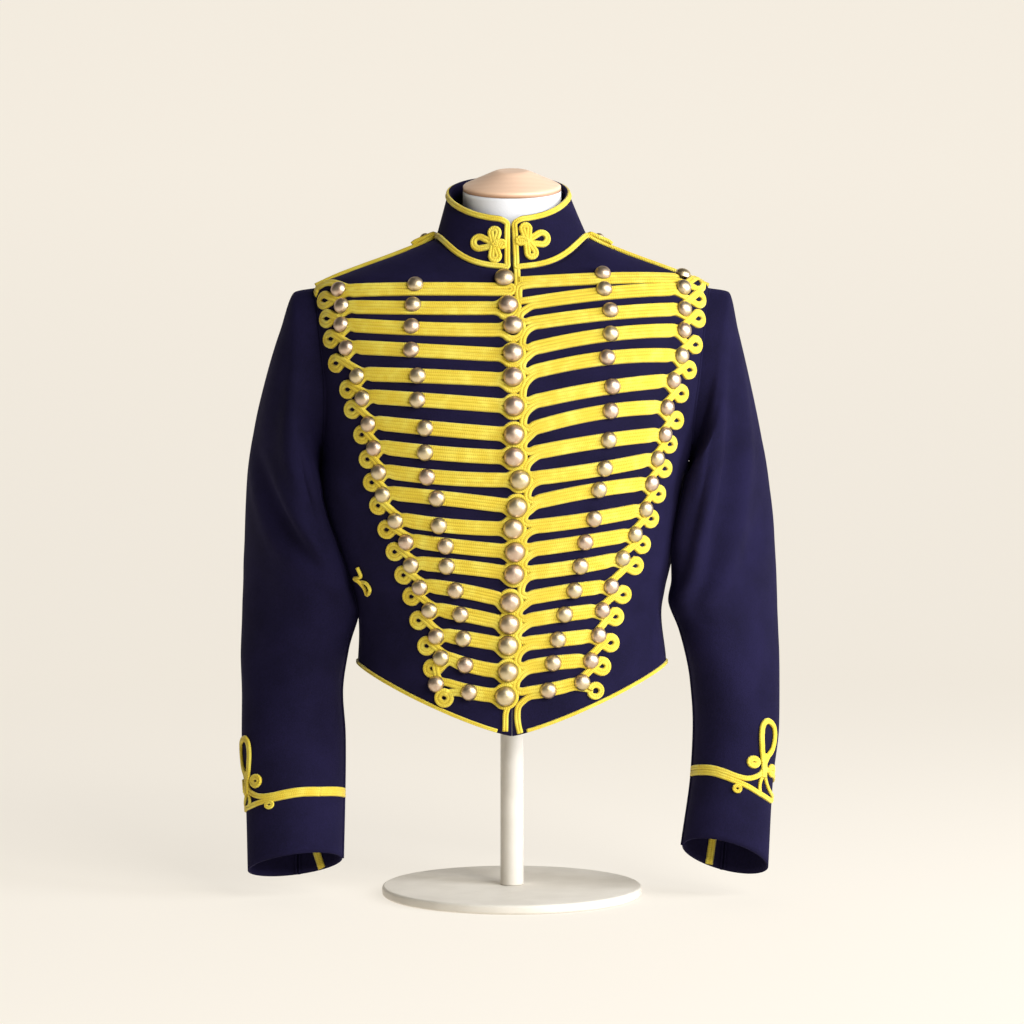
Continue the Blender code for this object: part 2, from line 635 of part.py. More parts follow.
def collar_place(x, z, out):
    """Matrix that stands a piece on the collar at a place as seen from the front."""
    angle, level = 0.0, 0.5
    for _ in range(8):
        half_width = NECK_SEAM.half_width + level * (COLLAR_TOP.half_width - NECK_SEAM.half_width)
        angle = np.arcsin((x - level * collar_lean(angle)) / half_width)
        low, high = collar_span(angle)
        level = (z - low) / (high - low)
    point, normal = with_normals(collar_surface, np.degrees(angle), level, 0.02)
    return facing_matrix(point + out * normal, normal)


def collar_start(inset):
    """Degrees from the front to a line that stands back from the collar's front edge by an inset."""
    return np.degrees(np.arcsin((COLLAR_OPENING + inset) / COLLAR_TOP.half_width))


def collar_columns():
    """Degrees of the collar's columns, which meet those of the fronts and backs."""
    front = np.linspace(0, 90, FRONT_COLUMNS + 1)[1:]
    back = np.linspace(90, 180, BACK_COLUMNS + 1)[1:]
    half = np.concatenate([[collar_start(0), front[0] / 2], front, back])
    return np.concatenate([half, 360 - half[-2::-1]])


def make_collar():
    columns = collar_columns()
    grid = collar_surface(columns[None, :], np.linspace(0, 1, 3)[:, None])
    sheet("collar", grid, "navy_wool", COLLAR_CLOTH)

    start = collar_start(COLLAR_BRAID_WIDTH / 2 + 1)
    inner = columns[(columns > start + 2) & (columns < 358 - start)]
    round_it = np.concatenate([[start], inner, [360 - start]])
    upright = np.linspace(*BRAID_LEVELS, 4)[1:-1]
    right_edge, left_edge = np.full(2, round_it[-1]), np.full(2, round_it[0])
    path_degrees = np.concatenate([round_it, right_edge, round_it[::-1], left_edge])
    low, high = (np.full(len(round_it), level) for level in BRAID_LEVELS)
    path_level = np.concatenate([low, upright, high, upright[::-1]])
    points, normals = with_normals(collar_surface, path_degrees, path_level, 0.02)
    ribbon("collar_braid", points, normals, COLLAR_BRAID_WIDTH, closed=True)

    middle = disc_mesh("collar_knot_middle", COLLAR_KNOT_MIDDLE.radius, BRAID_HIGH)
    for side in (LEFT, RIGHT):
        middle_x = side * COLLAR_KNOT_MIDDLE.x + COLLAR_KNOT_SHIFT
        centre = collar_place(middle_x, COLLAR_KNOT_MIDDLE.z, COLLAR_KNOT_OFF)
        pieces = [placed("knot_middle", middle, "yellow_braid", centre)]
        for loop in COLLAR_KNOT:
            mesh = loop_mesh("collar_loop", loop.radius, loop.radius)
            place = collar_place(side * loop.x + COLLAR_KNOT_SHIFT, loop.z, COLLAR_KNOT_OFF)
            pieces.append(placed("knot_loop", mesh, "yellow_braid", place))
        fuse("collar_knot_" + SIDE_NAMES[side], pieces)


# Frogging and buttons
def front_place(x, z, out, turn=0.0):
    point, normal = with_normals(front_surface, np.array(float(x)), np.array(float(z)))
    return facing_matrix(point + out * normal, normal, turn)


def front_ribbon(name, x, z, width, high=BRAID_HIGH):
    points, normals = with_normals(front_surface, np.asarray(x, float), np.asarray(z, float))
    return ribbon(name, points, normals, width, high=high)


def row_path(places, loop):
    """Stations of a braid row at the panel's columns, on the parabola through its three places."""
    (start_x, _), (_, mid_z), (end_x, end_z) = places
    turns = np.linspace(0, np.pi / 2, FRONT_COLUMNS + 1)[1:-1]
    power = 2 / body_size(mid_z, "square")
    columns = half_width(mid_z, end_x) * np.sin(turns) ** power * np.sign(end_x)
    low, high = sorted((start_x, end_x))
    inner = columns[(columns > low + STATION_GAP) & (columns < high - STATION_GAP)]
    x = np.concatenate([[start_x], inner, [end_x]])
    z = np.polyval(np.polyfit(*zip(*places), 2), x)
    if abs(loop[0]) > abs(end_x):
        x = np.append(x, end_x + TAIL_SHARE * (loop[0] - end_x))
        z = np.append(z, end_z + TAIL_SHARE * (loop[1] - end_z))
    return x, z


def frogging_pieces(side, meshes):
    heights = np.array([EDGE_TOP, *(row.centre[1] for row in FROG), EDGE_FOOT])
    if side == RIGHT:
        beside = [row.centre[0] + EDGE_OUT for row in FROG]
        edge_x = np.array([beside[0], *beside, EDGE_END])
    else:
        edge_x = np.array([-EDGE_IN] * (len(FROG) + 1) + [-EDGE_END])
    yield front_ribbon("edge_braid", edge_x, heights, EDGE_WIDTH, EDGE_HIGH)
    for number, row in enumerate(FROG, 1):
        if side == RIGHT:
            start = (row.centre[0] + EDGE_OUT - ROW_OVER_EDGE, row.centre[1])
            mid, end, loop = row.right_mid, row.right_end, row.right_loop
        else:
            start = (row.centre[0] + ROW_IN, row.centre[1])
            mid, end, loop = row.left_mid, row.left_end, row.left_loop
        sag = ROW_SAG[side].get(number, NO_SAG)
        places = [(x, z - down) for (x, z), down in zip((start, mid, end), sag)]
        yield front_ribbon("row", *row_path(places, loop), ROW_WIDTH)
        ring = front_place(*loop, BRAID_OFF + LOOP_LIFT, LOOP_TURN)
        yield placed("loop", meshes["loop"], "yellow_braid", ring)
        for place in (mid, end):
            dome = front_place(*place, BRAID_OFF + DOME_LIFT + BUTTON_SMALL[1])
            yield placed("dome", meshes["dome"], "brass", dome)
    if side == LEFT:
        tip = front_place(*TIP_LOOP, BRAID_OFF + LOOP_LIFT, LOOP_TURN)
        yield placed("loop", meshes["loop"], "yellow_braid", tip)


def make_frogging():
    outer = LOOP_RADIUS + LOOP_STRAND
    meshes = {
        "loop": loop_mesh("frog_loop", outer, outer),
        "dome": button_mesh("small_button", *BUTTON_SMALL, 6, 3),
    }
    for side in (LEFT, RIGHT):
        fuse("frogging_" + SIDE_NAMES[side], list(frogging_pieces(side, meshes)))
    centre = button_mesh("centre_button", *BUTTON_CENTRE, 8, 4)
    lift = BRAID_OFF + BRAID_HIGH + CENTRE_GAP + BUTTON_CENTRE[1]
    for number, row in enumerate(FROG, 1):
        placed(f"button_centre_{number:02d}", centre, "brass", front_place(*row.centre, lift))


# Cords on the shoulders, hem and waist
def at_height(height, heights, line):
    """Point of a line of points at a height."""
    return np.array([np.interp(height, heights, column) for column in line.T])


def make_cords():
    button = button_mesh("shoulder_button", *BUTTON_SHOULDER, 8, 4)
    for side in (LEFT, RIGHT):
        name = SIDE_NAMES[side]
        heights = np.linspace(ARMHOLE_HIGH + 1, NECK_SIDE - 2, 9)
        ridge = body_point(np.pi / 2, heights, side, FRONT)
        along = np.gradient(ridge, axis=0)
        up = np.cross(along, (0, -side, 0))
        up /= np.linalg.norm(up, axis=-1, keepdims=True)
        cord("shoulder_cord_" + name, ridge + (CORD_RADIUS + CORD_OFF) * up, CORD_RADIUS)

        def front(turn, height):
            return body_point(np.radians(turn), height, side, FRONT)

        point, normal = (at_height(SHOULDER_BUTTON_AT, heights, line) for line in (ridge, up))
        lift = CORD_OFF + 2 * CORD_RADIUS + CENTRE_GAP + BUTTON_SHOULDER[1]
        place = facing_matrix(point + lift * normal, normal)
        placed("shoulder_button_" + name, button, "brass", place)

        share = np.linspace(0.02, 1, FRONT_COLUMNS + 1)
        power = 2 / body_size(HEM_SIDE, "square")
        hem = hem_height(np.sin(share * np.pi / 2) ** power, FRONT) + HEM_CORD_RADIUS
        points, normals = with_normals(front, share * 90, hem)
        cord("hem_cord_" + name, points + (HEM_CORD_RADIUS + CORD_OFF) * side * normals, HEM_CORD_RADIUS)

    offsets = np.array(WAIST_KNOT, float) + WAIST_KNOT_AT
    points, normals = with_normals(front_surface, offsets[:, 0], offsets[:, 1])
    cord("waist_knot", points + (WAIST_KNOT_RADIUS + CORD_OFF) * normals, WAIST_KNOT_RADIUS)


# Cuff braids, and the tapes inside the cuffs
def make_cuffs(grids):
    for side, grid in grids.items():
        name = SIDE_NAMES[side]
        framed = on_sleeve(grid, side)
        degrees = np.linspace(0, 360, ARM_COLUMNS, endpoint=False)
        points, normals = framed(degrees, np.full(ARM_COLUMNS, float(CUFF_BAND_RING)))
        pieces = [ribbon("cuff_band", points, normals, CUFF_BAND_WIDTH, closed=True, off=CUFF_BAND_OFF)]

        lengths = np.linalg.norm(np.diff(grid[CUFF_BAND_RING - 2 :, 0], axis=0), axis=-1)
        along = np.array([-lengths[0] - lengths[1], -lengths[1], 0, lengths[2]])
        rings = np.arange(CUFF_BAND_RING - 2, CUFF_BAND_RING + 2)
        girth = np.linalg.norm(np.diff(grid[CUFF_BAND_RING], axis=0), axis=-1).sum()
        for loop in CUFF_KNOT:
            angle = CUFF_KNOT_ANGLE[side] + loop.across / girth * 360
            point, normal = framed(np.array(angle), np.interp(-loop.up, along, rings))
            mesh = loop_mesh("cuff_loop", loop.half_width, loop.half_length, strand=CUFF_STRAND)
            place = facing_matrix(point + CUFF_LOOP_OFF * normal, normal)
            pieces.append(placed("cuff_loop", mesh, "yellow_braid", place))
        fuse("cuff_braid_" + name, pieces)

        stations = CUFF_RING - np.linspace(0, 1, 4) * TAPE_LENGTH / lengths[2] - 0.02
        points, normals = framed(np.full(4, float(TAPE_ANGLE)), stations)
        inside = points - (CLOTH + TAPE_OFF) * normals
        ribbon("cuff_tape_" + name, inside, -normals, TAPE_WIDTH, high=TAPE_THICK, off=0)


# Dress form and stand
def make_form():
    turn = np.linspace(0, 2 * np.pi, FORM_COLUMNS, endpoint=False)
    shape = bmesh.new()
    rings = []
    for section in FORM:
        depth = np.where(np.cos(turn) > 0, section.front, section.back)
        power = 2 / FORM_SQUARE
        x = section.half_width * np.sign(np.sin(turn)) * np.abs(np.sin(turn)) ** power
        y = -depth * np.sign(np.cos(turn)) * np.abs(np.cos(turn)) ** power
        lean = NECK_LEAN * max(0, section.height - NECK_LEAN_FROM) / (FORM[-1].height - NECK_LEAN_FROM)
        rings.append([shape.verts.new(Vector(place) * MM) for place in zip(x, y, section.height + lean * y)])
    for low, high in zip(rings, rings[1:]):
        for i in range(FORM_COLUMNS):
            after = (i + 1) % FORM_COLUMNS
            shape.faces.new((low[i], low[after], high[after], high[i]))
    shape.faces.new(rings[0][::-1])
    shape.faces.new(rings[-1])
    mesh = bpy.data.meshes.new("form_torso")
    shape.to_mesh(mesh)
    shape.free()
    add_object("form_torso", mesh, "white_jersey")

    cap = bpy.data.meshes.new("form_cap")
    profile = [(radius * MM, 0, height * MM) for radius, height in CAP_PROFILE]
    profile.append((0, 0, profile[-1][2]))
    cap.from_pydata(profile, [(i, i + 1) for i in range(len(profile) - 1)], [])
    upright = Matrix.Translation((0, 0, CAP_FOOT * MM))
    wood = placed("form_cap", cap, "turned_wood", upright @ Matrix.Rotation(np.arctan(NECK_LEAN), 4, "X"))
    turned = wood.modifiers.new("turn", "SCREW")
    turned.steps = turned.render_steps = 16
    turned.use_merge_vertices = True
    turned.merge_threshold = 1e-5

    pole_high = FORM[0].height - BASE_HIGH - 2 * STAND_GAP
    pole = placed(
        "form_pole",
        disc_mesh("form_pole", POLE_RADIUS, pole_high, 16),
        "cream_paint",
        Matrix.Translation((0, 0, (BASE_HIGH + STAND_GAP + pole_high / 2) * MM)),
    )
    base = placed(
        "form_base",
        disc_mesh("form_base", BASE_RADIUS, BASE_HIGH, 24),
        "cream_paint",
        Matrix.Translation((0, 0, BASE_HIGH / 2 * MM)),
    )
    edge = base.modifiers.new("edge", "BEVEL")
    edge.width = BASE_EDGE * MM
    edge.segments = 1
    for round_piece in (pole, base):
        round_piece.data.set_sharp_from_angle(angle=np.radians(40))


for leftover in list(bpy.data.objects):
    bpy.data.objects.remove(leftover)
PARTS = new_collection("hussar_tunic_on_form", bpy.context.scene.collection)
CUTTERS = new_collection("cutters", bpy.context.scene.collection)
sleeve_grids = {side: sleeve_grid(side) for side in (LEFT, RIGHT)}
make_body()
make_sleeves(sleeve_grids)
make_collar()
make_frogging()
make_cords()
make_cuffs(sleeve_grids)
make_form()
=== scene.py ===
"""Hussar tunic in navy wool with yellow frogging, worn by a limbless dress form on a short stand: its looks.

Sizes are in millimetres and become metres as each mesh is made. +Z is up and the tunic faces -Y. Left and
right are those of someone who looks at its front.
"""

from collections import namedtuple

import bmesh
import bpy
import numpy as np
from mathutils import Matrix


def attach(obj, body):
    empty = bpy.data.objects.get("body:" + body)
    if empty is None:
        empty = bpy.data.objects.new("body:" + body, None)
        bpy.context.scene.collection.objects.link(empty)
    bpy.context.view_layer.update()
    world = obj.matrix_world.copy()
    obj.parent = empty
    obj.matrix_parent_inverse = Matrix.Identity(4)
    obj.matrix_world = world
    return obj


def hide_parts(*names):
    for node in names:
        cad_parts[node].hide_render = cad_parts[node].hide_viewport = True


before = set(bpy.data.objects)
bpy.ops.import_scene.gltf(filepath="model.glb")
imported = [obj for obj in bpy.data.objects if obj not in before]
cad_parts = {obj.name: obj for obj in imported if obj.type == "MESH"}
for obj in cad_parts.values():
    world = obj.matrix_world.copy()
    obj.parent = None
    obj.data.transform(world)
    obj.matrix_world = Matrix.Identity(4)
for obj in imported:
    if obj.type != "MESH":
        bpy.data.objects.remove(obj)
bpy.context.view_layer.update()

# Stand. A round steel plate with an eased edge, and a tube that stands on the middle of it, both painted
# cream. The form is pushed onto the top of the tube.
MM = 0.001  # in metres
SAME_PLACE = 1e-7  # metres within which two points of a mesh become one
BASE_RADIUS, BASE_HIGH, BASE_EDGE = 140, 10, 3
POLE_RADIUS, POLE_EDGE = 12.5, 0.8
STAND_GAP = 0.3  # at both ends of the tube
FORM_FOOT = 258
LATHE_STEPS, POLE_STEPS, EDGE_POINTS = 96, 48, 7
PAINT = (0.80, 0.75, 0.66, 1)
PAINT_WORN = (0.74, 0.69, 0.60, 1)


class Socket:
    """One output of a material's nodes. Arithmetic on it adds Math nodes."""

    def __init__(self, tree, output=None):
        self.tree = tree
        self.output = output

    def node(self, kind, settings=None, inputs=None, out=0):
        """Add any node: its type, its settings, then the values or links of its sockets."""
        made = self.tree.nodes.new(kind)
        for name, value in (settings or {}).items():
            setattr(made, name, value)
        for name, value in (inputs or {}).items():
            if isinstance(value, Socket):
                self.tree.links.new(value.output, made.inputs[name])
            else:
                made.inputs[name].default_value = value
        return Socket(self.tree, made.outputs[out])

    def math(self, operation, *values):
        """Result of a Math node on values or sockets."""
        return self.node("ShaderNodeMath", {"operation": operation}, dict(enumerate(values)))

    def __add__(self, other):
        return self.math("ADD", self, other)

    def __sub__(self, other):
        return self.math("SUBTRACT", self, other)

    def __rsub__(self, other):
        return self.math("SUBTRACT", other, self)

    def __mul__(self, other):
        return self.math("MULTIPLY", self, other)

    __radd__ = __add__
    __rmul__ = __mul__

    def mixed(self, first, second):
        """Colour between two others, by this value; a Mix node has its colours in sockets 6 and 7."""
        return self.node("ShaderNodeMix", {"data_type": "RGBA"}, {0: self, 6: first, 7: second}, out=2)

    def spread(self, low, high):
        """This value drawn out, so that low becomes 0 and high becomes 1, with soft ends."""
        settings = {"interpolation_type": "SMOOTHSTEP"}
        return self.node("ShaderNodeMapRange", settings, {0: self, 1: low, 2: high, 3: 0.0, 4: 1.0})


class Finish:
    """A Principled material with constant inputs, to which varying ones are linked."""

    def __init__(self, name, **constants):
        self.material = bpy.data.materials.new(name)
        self.material.use_nodes = True
        self.nodes = Socket(self.material.node_tree)
        self.shader = self.material.node_tree.nodes["Principled BSDF"]
        for socket, value in constants.items():
            self.shader.inputs[socket.replace("_", " ")].default_value = value

    def feed(self, name, value):
        """Link one of the shader's inputs to a socket."""
        self.nodes.tree.links.new(value.output, self.shader.inputs[name])

    def place(self):
        """Place on the object, in metres."""
        return self.nodes.node("ShaderNodeTexCoord", out="Object")

    def laid(self):
        """The mesh's own two coordinates."""
        uv = self.nodes.node("ShaderNodeTexCoord", out="UV")
        return [self.nodes.node("ShaderNodeSeparateXYZ", None, {0: uv}, out=axis) for axis in (0, 1)]

    def noise(self, scale, detail=2.0, roughness=0.5):
        """Noise by place on the object; the scale is to a metre."""
        inputs = {"Vector": self.place(), "Scale": scale, "Detail": detail, "Roughness": roughness}
        return self.nodes.node("ShaderNodeTexNoise", None, inputs)

    def bump(self, height, distance, strength=1.0):
        """Relief by a height between 0 and 1; the distance is in metres."""
        inputs = {"Height": height, "Distance": distance, "Strength": strength}
        self.feed("Normal", self.nodes.node("ShaderNodeBump", None, inputs))


def woven_grid(points, uv, loop_rows=False, loop_columns=False):
    """Points, faces and corner coordinates of a grid; a looped way joins its end to its start."""
    rows, columns = points.shape[:2]
    row, column = np.meshgrid(
        np.arange(rows - (not loop_rows)), np.arange(columns - (not loop_columns)), indexing="ij"
    )
    row, column = row.ravel(), column.ravel()
    corners = [(row, column), (row, column + 1), (row + 1, column + 1), (row + 1, column)]
    faces = np.stack([r % rows * columns + c % columns for r, c in corners], axis=-1)
    return points.reshape(-1, 3), faces, np.stack([uv[r, c] for r, c in corners], axis=1)


def add_piece(name, grids, finish, nodes=(), solid=True):
    """One object made of several grids, which rides on the frame and stands for the named nodes."""
    starts = np.cumsum([0] + [len(points) for points, _, _ in grids])
    points = np.concatenate([points for points, _, _ in grids]) * MM
    faces = np.concatenate([faces + start for (_, faces, _), start in zip(grids, starts)])
    mesh = bpy.data.meshes.new(name)
    mesh.from_pydata(points.tolist(), [], faces.tolist())
    uv = np.concatenate([corners.reshape(-1, 2) for _, _, corners in grids])
    mesh.uv_layers.new(name="laid").data.foreach_set("uv", uv.ravel())
    shape = bmesh.new()
    shape.from_mesh(mesh)
    bmesh.ops.remove_doubles(shape, verts=shape.verts, dist=SAME_PLACE)
    if solid:
        bmesh.ops.recalc_face_normals(shape, faces=shape.faces)
    shape.to_mesh(mesh)
    shape.free()
    mesh.shade_smooth()
    mesh.materials.append(finish.material)
    piece = bpy.data.objects.new(name, mesh)
    bpy.context.scene.collection.objects.link(piece)
    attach(piece, "root")
    if nodes:
        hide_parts(*nodes)
    return piece


def lathe(profile, steps=LATHE_STEPS):
    """Profile of radius and height turned round the upright axis; laid out by turn and by place on it."""
    profile = np.asarray(profile, float)
    turn = np.linspace(0, 2 * np.pi, steps, endpoint=False)
    x, y = (profile[:, :1] * way(turn) for way in (np.cos, np.sin))
    points = np.stack([x, y, np.broadcast_to(profile[:, 1:], x.shape)], axis=-1)
    along, around = np.linspace(0, 1, len(profile)), np.linspace(0, 1, steps + 1)
    uv = np.stack(np.meshgrid(around, along), axis=-1)
    return woven_grid(points, uv, loop_columns=True)


def rounded_plate(radius, low, high, edge):
    """Profile of a plate with an eased rim, from the middle of its top to the middle of its foot."""
    bend = np.radians(np.linspace(90, 0, EDGE_POINTS))
    top = np.stack([radius - edge + edge * np.cos(bend), high - edge + edge * np.sin(bend)], axis=-1)
    foot = top[::-1] * (1, -1) + (0, low + high)
    return np.concatenate([[(0, high), (radius / 2, high)], top, foot, [(radius / 2, low), (0, low)]])


cream_paint = Finish("cream_paint", Roughness=0.5)
wear = cream_paint.noise(scale=30, detail=4).spread(0.35, 0.7)
cream_paint.feed("Base Color", wear.mixed(PAINT, PAINT_WORN))
cream_paint.bump(cream_paint.noise(scale=400, detail=2), distance=0.0001)
plate = rounded_plate(BASE_RADIUS, 0, BASE_HIGH, BASE_EDGE)
add_piece("stand_base", [lathe(plate)], cream_paint, ["form_base"])
tube = rounded_plate(POLE_RADIUS, BASE_HIGH + STAND_GAP, FORM_FOOT - STAND_GAP, POLE_EDGE)
add_piece("stand_pole", [lathe(tube, POLE_STEPS)], cream_paint, ["form_pole"])

# Dress form. A limbless body in white jersey drawn tight over a padded shell, with a short neck that is
# closed by a turned wooden cap.
FormSection = namedtuple("FormSection", "height half_width front back")
FORM = (
    FormSection(258, 154, 106, 93),
    FormSection(303, 149, 102, 88),
    FormSection(365, 160, 110, 94),
    FormSection(430, 171, 118, 100),
    FormSection(475, 177, 120, 103),
    FormSection(515, 180, 118, 105),
    FormSection(560, 181, 110, 105),
    FormSection(612, 179, 91, 98),
    FormSection(640, 168, 76, 88),
    FormSection(656, 146, 66, 82),
    FormSection(672, 110, 58, 76),
    FormSection(688, 79, 54, 69),
    FormSection(702, 61, 52, 60),
    FormSection(718, 54, 52.5, 54.5),
    FormSection(759.4, 53, 50.6, 50.6),
)
FORM_SQUARE = 2.2  # power of its rounded oblongs; 2 would make ovals
FORM_ROWS, FORM_COLUMNS = 110, 128
NECK_LEAN, NECK_LEAN_FROM = 0.31, 702  # rise of the neck's top from front to back, and where it begins
CAP_FOOT, CAP_STEP = 759.8, 1.5  # height of its foot, and step along its profile
SPAN_POINTS, PATH_LEAST = 12, 6  # of a curve: points between two of its places, and fewest steps
# Radius, and height above the cap's foot
CAP_PROFILE = (
    (0, 21.2), (9, 21.2), (16, 21), (21, 19.4), (29, 15.8),
    (38, 11.8), (50, 6.4), (52.6, 4.6), (53, 3.4), (53, 0),
)
JERSEY = (0.80, 0.80, 0.81, 1)
WOOD = (0.95, 0.65, 0.45, 1)
WOOD_DARK = (0.80, 0.50, 0.32, 1)
WOOD_RIM = (0.52, 0.29, 0.17, 1)


def smooth_path(points, step, closed=False):
    """Catmull-Rom curve through the points, cut into equal steps by the length in its first three columns."""
    points = np.asarray(points, float)
    if closed:
        padded = np.concatenate([points[-1:], points, points[:2]])
    else:
        padded = np.concatenate([2 * points[:1] - points[1:2], points, 2 * points[-1:] - points[-2:-1]])
    before, start, end, after = (padded[i : len(padded) - 3 + i, None] for i in range(4))
    t = np.linspace(0, 1, SPAN_POINTS, endpoint=False)[:, None]
    curve = start + 0.5 * t * (end - before)
    curve = curve + t**2 * (before - 2.5 * start + 2 * end - 0.5 * after)
    curve = curve + t**3 * (1.5 * (start - end) + 0.5 * (after - before))
    curve = np.concatenate([curve.reshape(-1, points.shape[1]), points[:1] if closed else points[-1:]])
    gone = np.linalg.norm(np.diff(curve[:, :3], axis=0), axis=-1)
    length = np.concatenate([[0], np.cumsum(gone)])
    count = max(PATH_LEAST, round(length[-1] / step))
    stations = np.linspace(0, length[-1], count + 1)[: count if closed else None]
    return np.stack([np.interp(stations, length, column) for column in curve.T], axis=-1)


def eased(at, knots, values):
    """Smooth curve through a table's values; harmonic slopes keep it from overshooting a knot.

    The values are one number for each knot, or one point for each knot and each place asked for.
    """
    knots, values = np.asarray(knots, float), np.asarray(values, float)
    steps = np.diff(values, axis=0) / np.diff(knots).reshape((-1,) + (1,) * (values.ndim - 1))
    same_way = steps[:-1] * steps[1:] > 0
    total = np.where(same_way, steps[:-1] + steps[1:], 1)
    inner = np.where(same_way, 2 * steps[:-1] * steps[1:] / total, 0)
    slopes = np.concatenate([steps[:1], inner, steps[-1:]])
    at = np.clip(at, knots[0], knots[-1])
    i = np.clip(np.searchsorted(knots, at, side="right") - 1, 0, len(knots) - 2)
    span = knots[i + 1] - knots[i]
    t = (at - knots[i]) / span
    if values.ndim > 1:
        t, span = t[..., None], span[..., None]

    def pick(table, index):
        if table.ndim == 1:
            return table[index]
        return np.take_along_axis(table, index[None, ..., None], axis=0)[0]

    ends = (1 + 2 * t) * (1 - t) ** 2 * pick(values, i) + t * t * (3 - 2 * t) * pick(values, i + 1)
    return ends + span * t * (1 - t) * ((1 - t) * pick(slopes, i) - t * pick(slopes, i + 1))


def table_column(table, name):
    """One field of every row of a table."""
    return [getattr(row, name) for row in table]


def form_grid():
    """Rounded oblongs whose half width, front and back are eased between sections; those of the neck lean."""
    heights = np.linspace(FORM[0].height, FORM[-1].height, FORM_ROWS)[:, None]
    turn = np.linspace(0, 2 * np.pi, FORM_COLUMNS, endpoint=False)
    width, front, back = (
        eased(heights, table_column(FORM, "height"), table_column(FORM, name))
        for name in ("half_width", "front", "back")
    )
    power = 2 / FORM_SQUARE
    x = width * np.sign(np.sin(turn)) * np.abs(np.sin(turn)) ** power
    y = -np.where(np.cos(turn) > 0, front, back) * np.sign(np.cos(turn)) * np.abs(np.cos(turn)) ** power
    lean = NECK_LEAN * np.clip((heights - NECK_LEAN_FROM) / (FORM[-1].height - NECK_LEAN_FROM), 0, 1)
    points = np.stack([x, y, heights + lean * y], axis=-1)
    foot, top = (np.full(points[:1].shape, (0, 0, end.height)) for end in (FORM[0], FORM[-1]))
    points = np.concatenate([foot, points, top])
    uv = np.stack(np.meshgrid(np.linspace(0, 1, FORM_COLUMNS + 1), np.linspace(0, 1, len(points))), axis=-1)
    return woven_grid(points, uv, loop_columns=True)


white_jersey = Finish("white_jersey", Roughness=0.85, Sheen_Weight=0.2)
white_jersey.shader.inputs["Base Color"].default_value = JERSEY
white_jersey.bump(white_jersey.noise(scale=900, detail=3), distance=0.0003)
add_piece("form_body", [form_grid()], white_jersey, ["form_torso"])

turned_wood = Finish("turned_wood", Coat_Weight=0.15, Coat_Roughness=0.3)
_, down_profile = turned_wood.laid()
grain = turned_wood.nodes.node(
    "ShaderNodeTexWave",
    {"bands_direction": "Z"},
    {"Vector": turned_wood.place(), "Scale": 60.0, "Distortion": 3.0, "Detail": 3.0},
    out="Fac",
)
timber = (grain * 0.15).mixed(WOOD, WOOD_DARK)
turned_wood.feed("Base Color", down_profile.spread(0.90, 0.96).mixed(timber, WOOD_RIM))
turned_wood.feed("Roughness", grain * 0.1 + 0.42)
turned_wood.bump(grain, distance=0.0001)
cap = np.concatenate([smooth_path(CAP_PROFILE, CAP_STEP), [(0, CAP_PROFILE[-1][1])]])
points, faces, uv = lathe(cap)
slope = np.arctan(NECK_LEAN)
forward = [(1, 0, 0), (0, np.cos(slope), np.sin(slope)), (0, -np.sin(slope), np.cos(slope))]
leant = (points @ np.array(forward) + (0, 0, CAP_FOOT), faces, uv)
add_piece("form_cap_wood", [leant], turned_wood, ["form_cap"])

# Fronts and backs. Felted navy wool with a lining, cut in four: each panel runs from the centre line to the
# side seam, the armhole and the shoulder seam. They meet at seams turned in, and the hem dips to a point.
LEFT, RIGHT = -1, 1
FRONT, BACK = "front", "back"
SIDE_NAMES = {LEFT: "left", RIGHT: "right"}
CLOTH = 2.0  # wool and its lining
HEM_POINT, HEM_SIDE, HEM_BACK = 181, 250, 245
HEM_BOW = 1.25  # power of the front hem's rise from its point to the side
ARMHOLE_LOW, ARMHOLE_HIGH, ARMHOLE_REACH = 470, 654, 55
ARMHOLE_MIDDLE, ARMHOLE_HALF = (ARMHOLE_HIGH + ARMHOLE_LOW) / 2, (ARMHOLE_HIGH - ARMHOLE_LOW) / 2
NECK_SIDE = 706
WAIST, CHEST = 303, 562
SEAM_PULL = 0.5  # how far an edge stands back from its seam line
TURN_IN = ((0.30, 0.3), (0.40, 1.2), (0.40, 4.0))  # of a seam's edge: out along the cloth, and in from it
EDGES = ((0, 1), (-1, -2))  # the edge columns of a grid, and their inner neighbours
PANEL_COLUMNS, CROWDING = 84, 0.8  # the second draws columns closer together towards the edges
SKIRT_ROWS, RIB_ROWS, ARMHOLE_ROWS, SHOULDER_ROWS = 22, 40, 46, 20
Neck = namedtuple("Neck", "half_width front back full")
NECK_SEAM = Neck(82.5, 75, 70, 0.3)
Section = namedtuple("Section", "height half_width left_more front back square")
BODY = (
    Section(170, 168, 0, 120, 106, 2.3),
    Section(215, 168, 0, 120, 106, 2.3),
    Section(255, 166, 0, 118.5, 105, 2.3),
    Section(303, 161, 5, 116.5, 100, 2.3),
    Section(365, 173, 14, 121.5, 106, 2.3),
    Section(430, 184, 23, 129, 112, 2.3),
    Section(475, 192, 12, 132, 115, 2.4),
    Section(515, 200, 5, 130, 117, 2.5),
    Section(560, 208, 0, 122, 117, 2.7),
    Section(612, 213, 0, 103, 110, 2.8),
    Section(640, 213, 0, 90, 101, 2.75),
    Section(654, 211, 0, 82.5, 97, 2.7),
    Section(668, 180, 0, 73, 95, 2.5),
    Section(690, 121, 0, 59, 89, 2.3),
    Section(706, 82.5, 0, 50, 84, 2.2),
    Section(726, 45, 0, 42, 70, 2.2),
    Section(740, 25, 0, 36, 58, 2.2),
)
HALVINGS = 40  # of the span in which a height is looked for
OUT_RISE = 40  # upward part of the vectors that leave a panel
CREASE_BOW, CREASE_FADE = 0.12, 1.5  # of a crease's length, and the power by which its ends fade
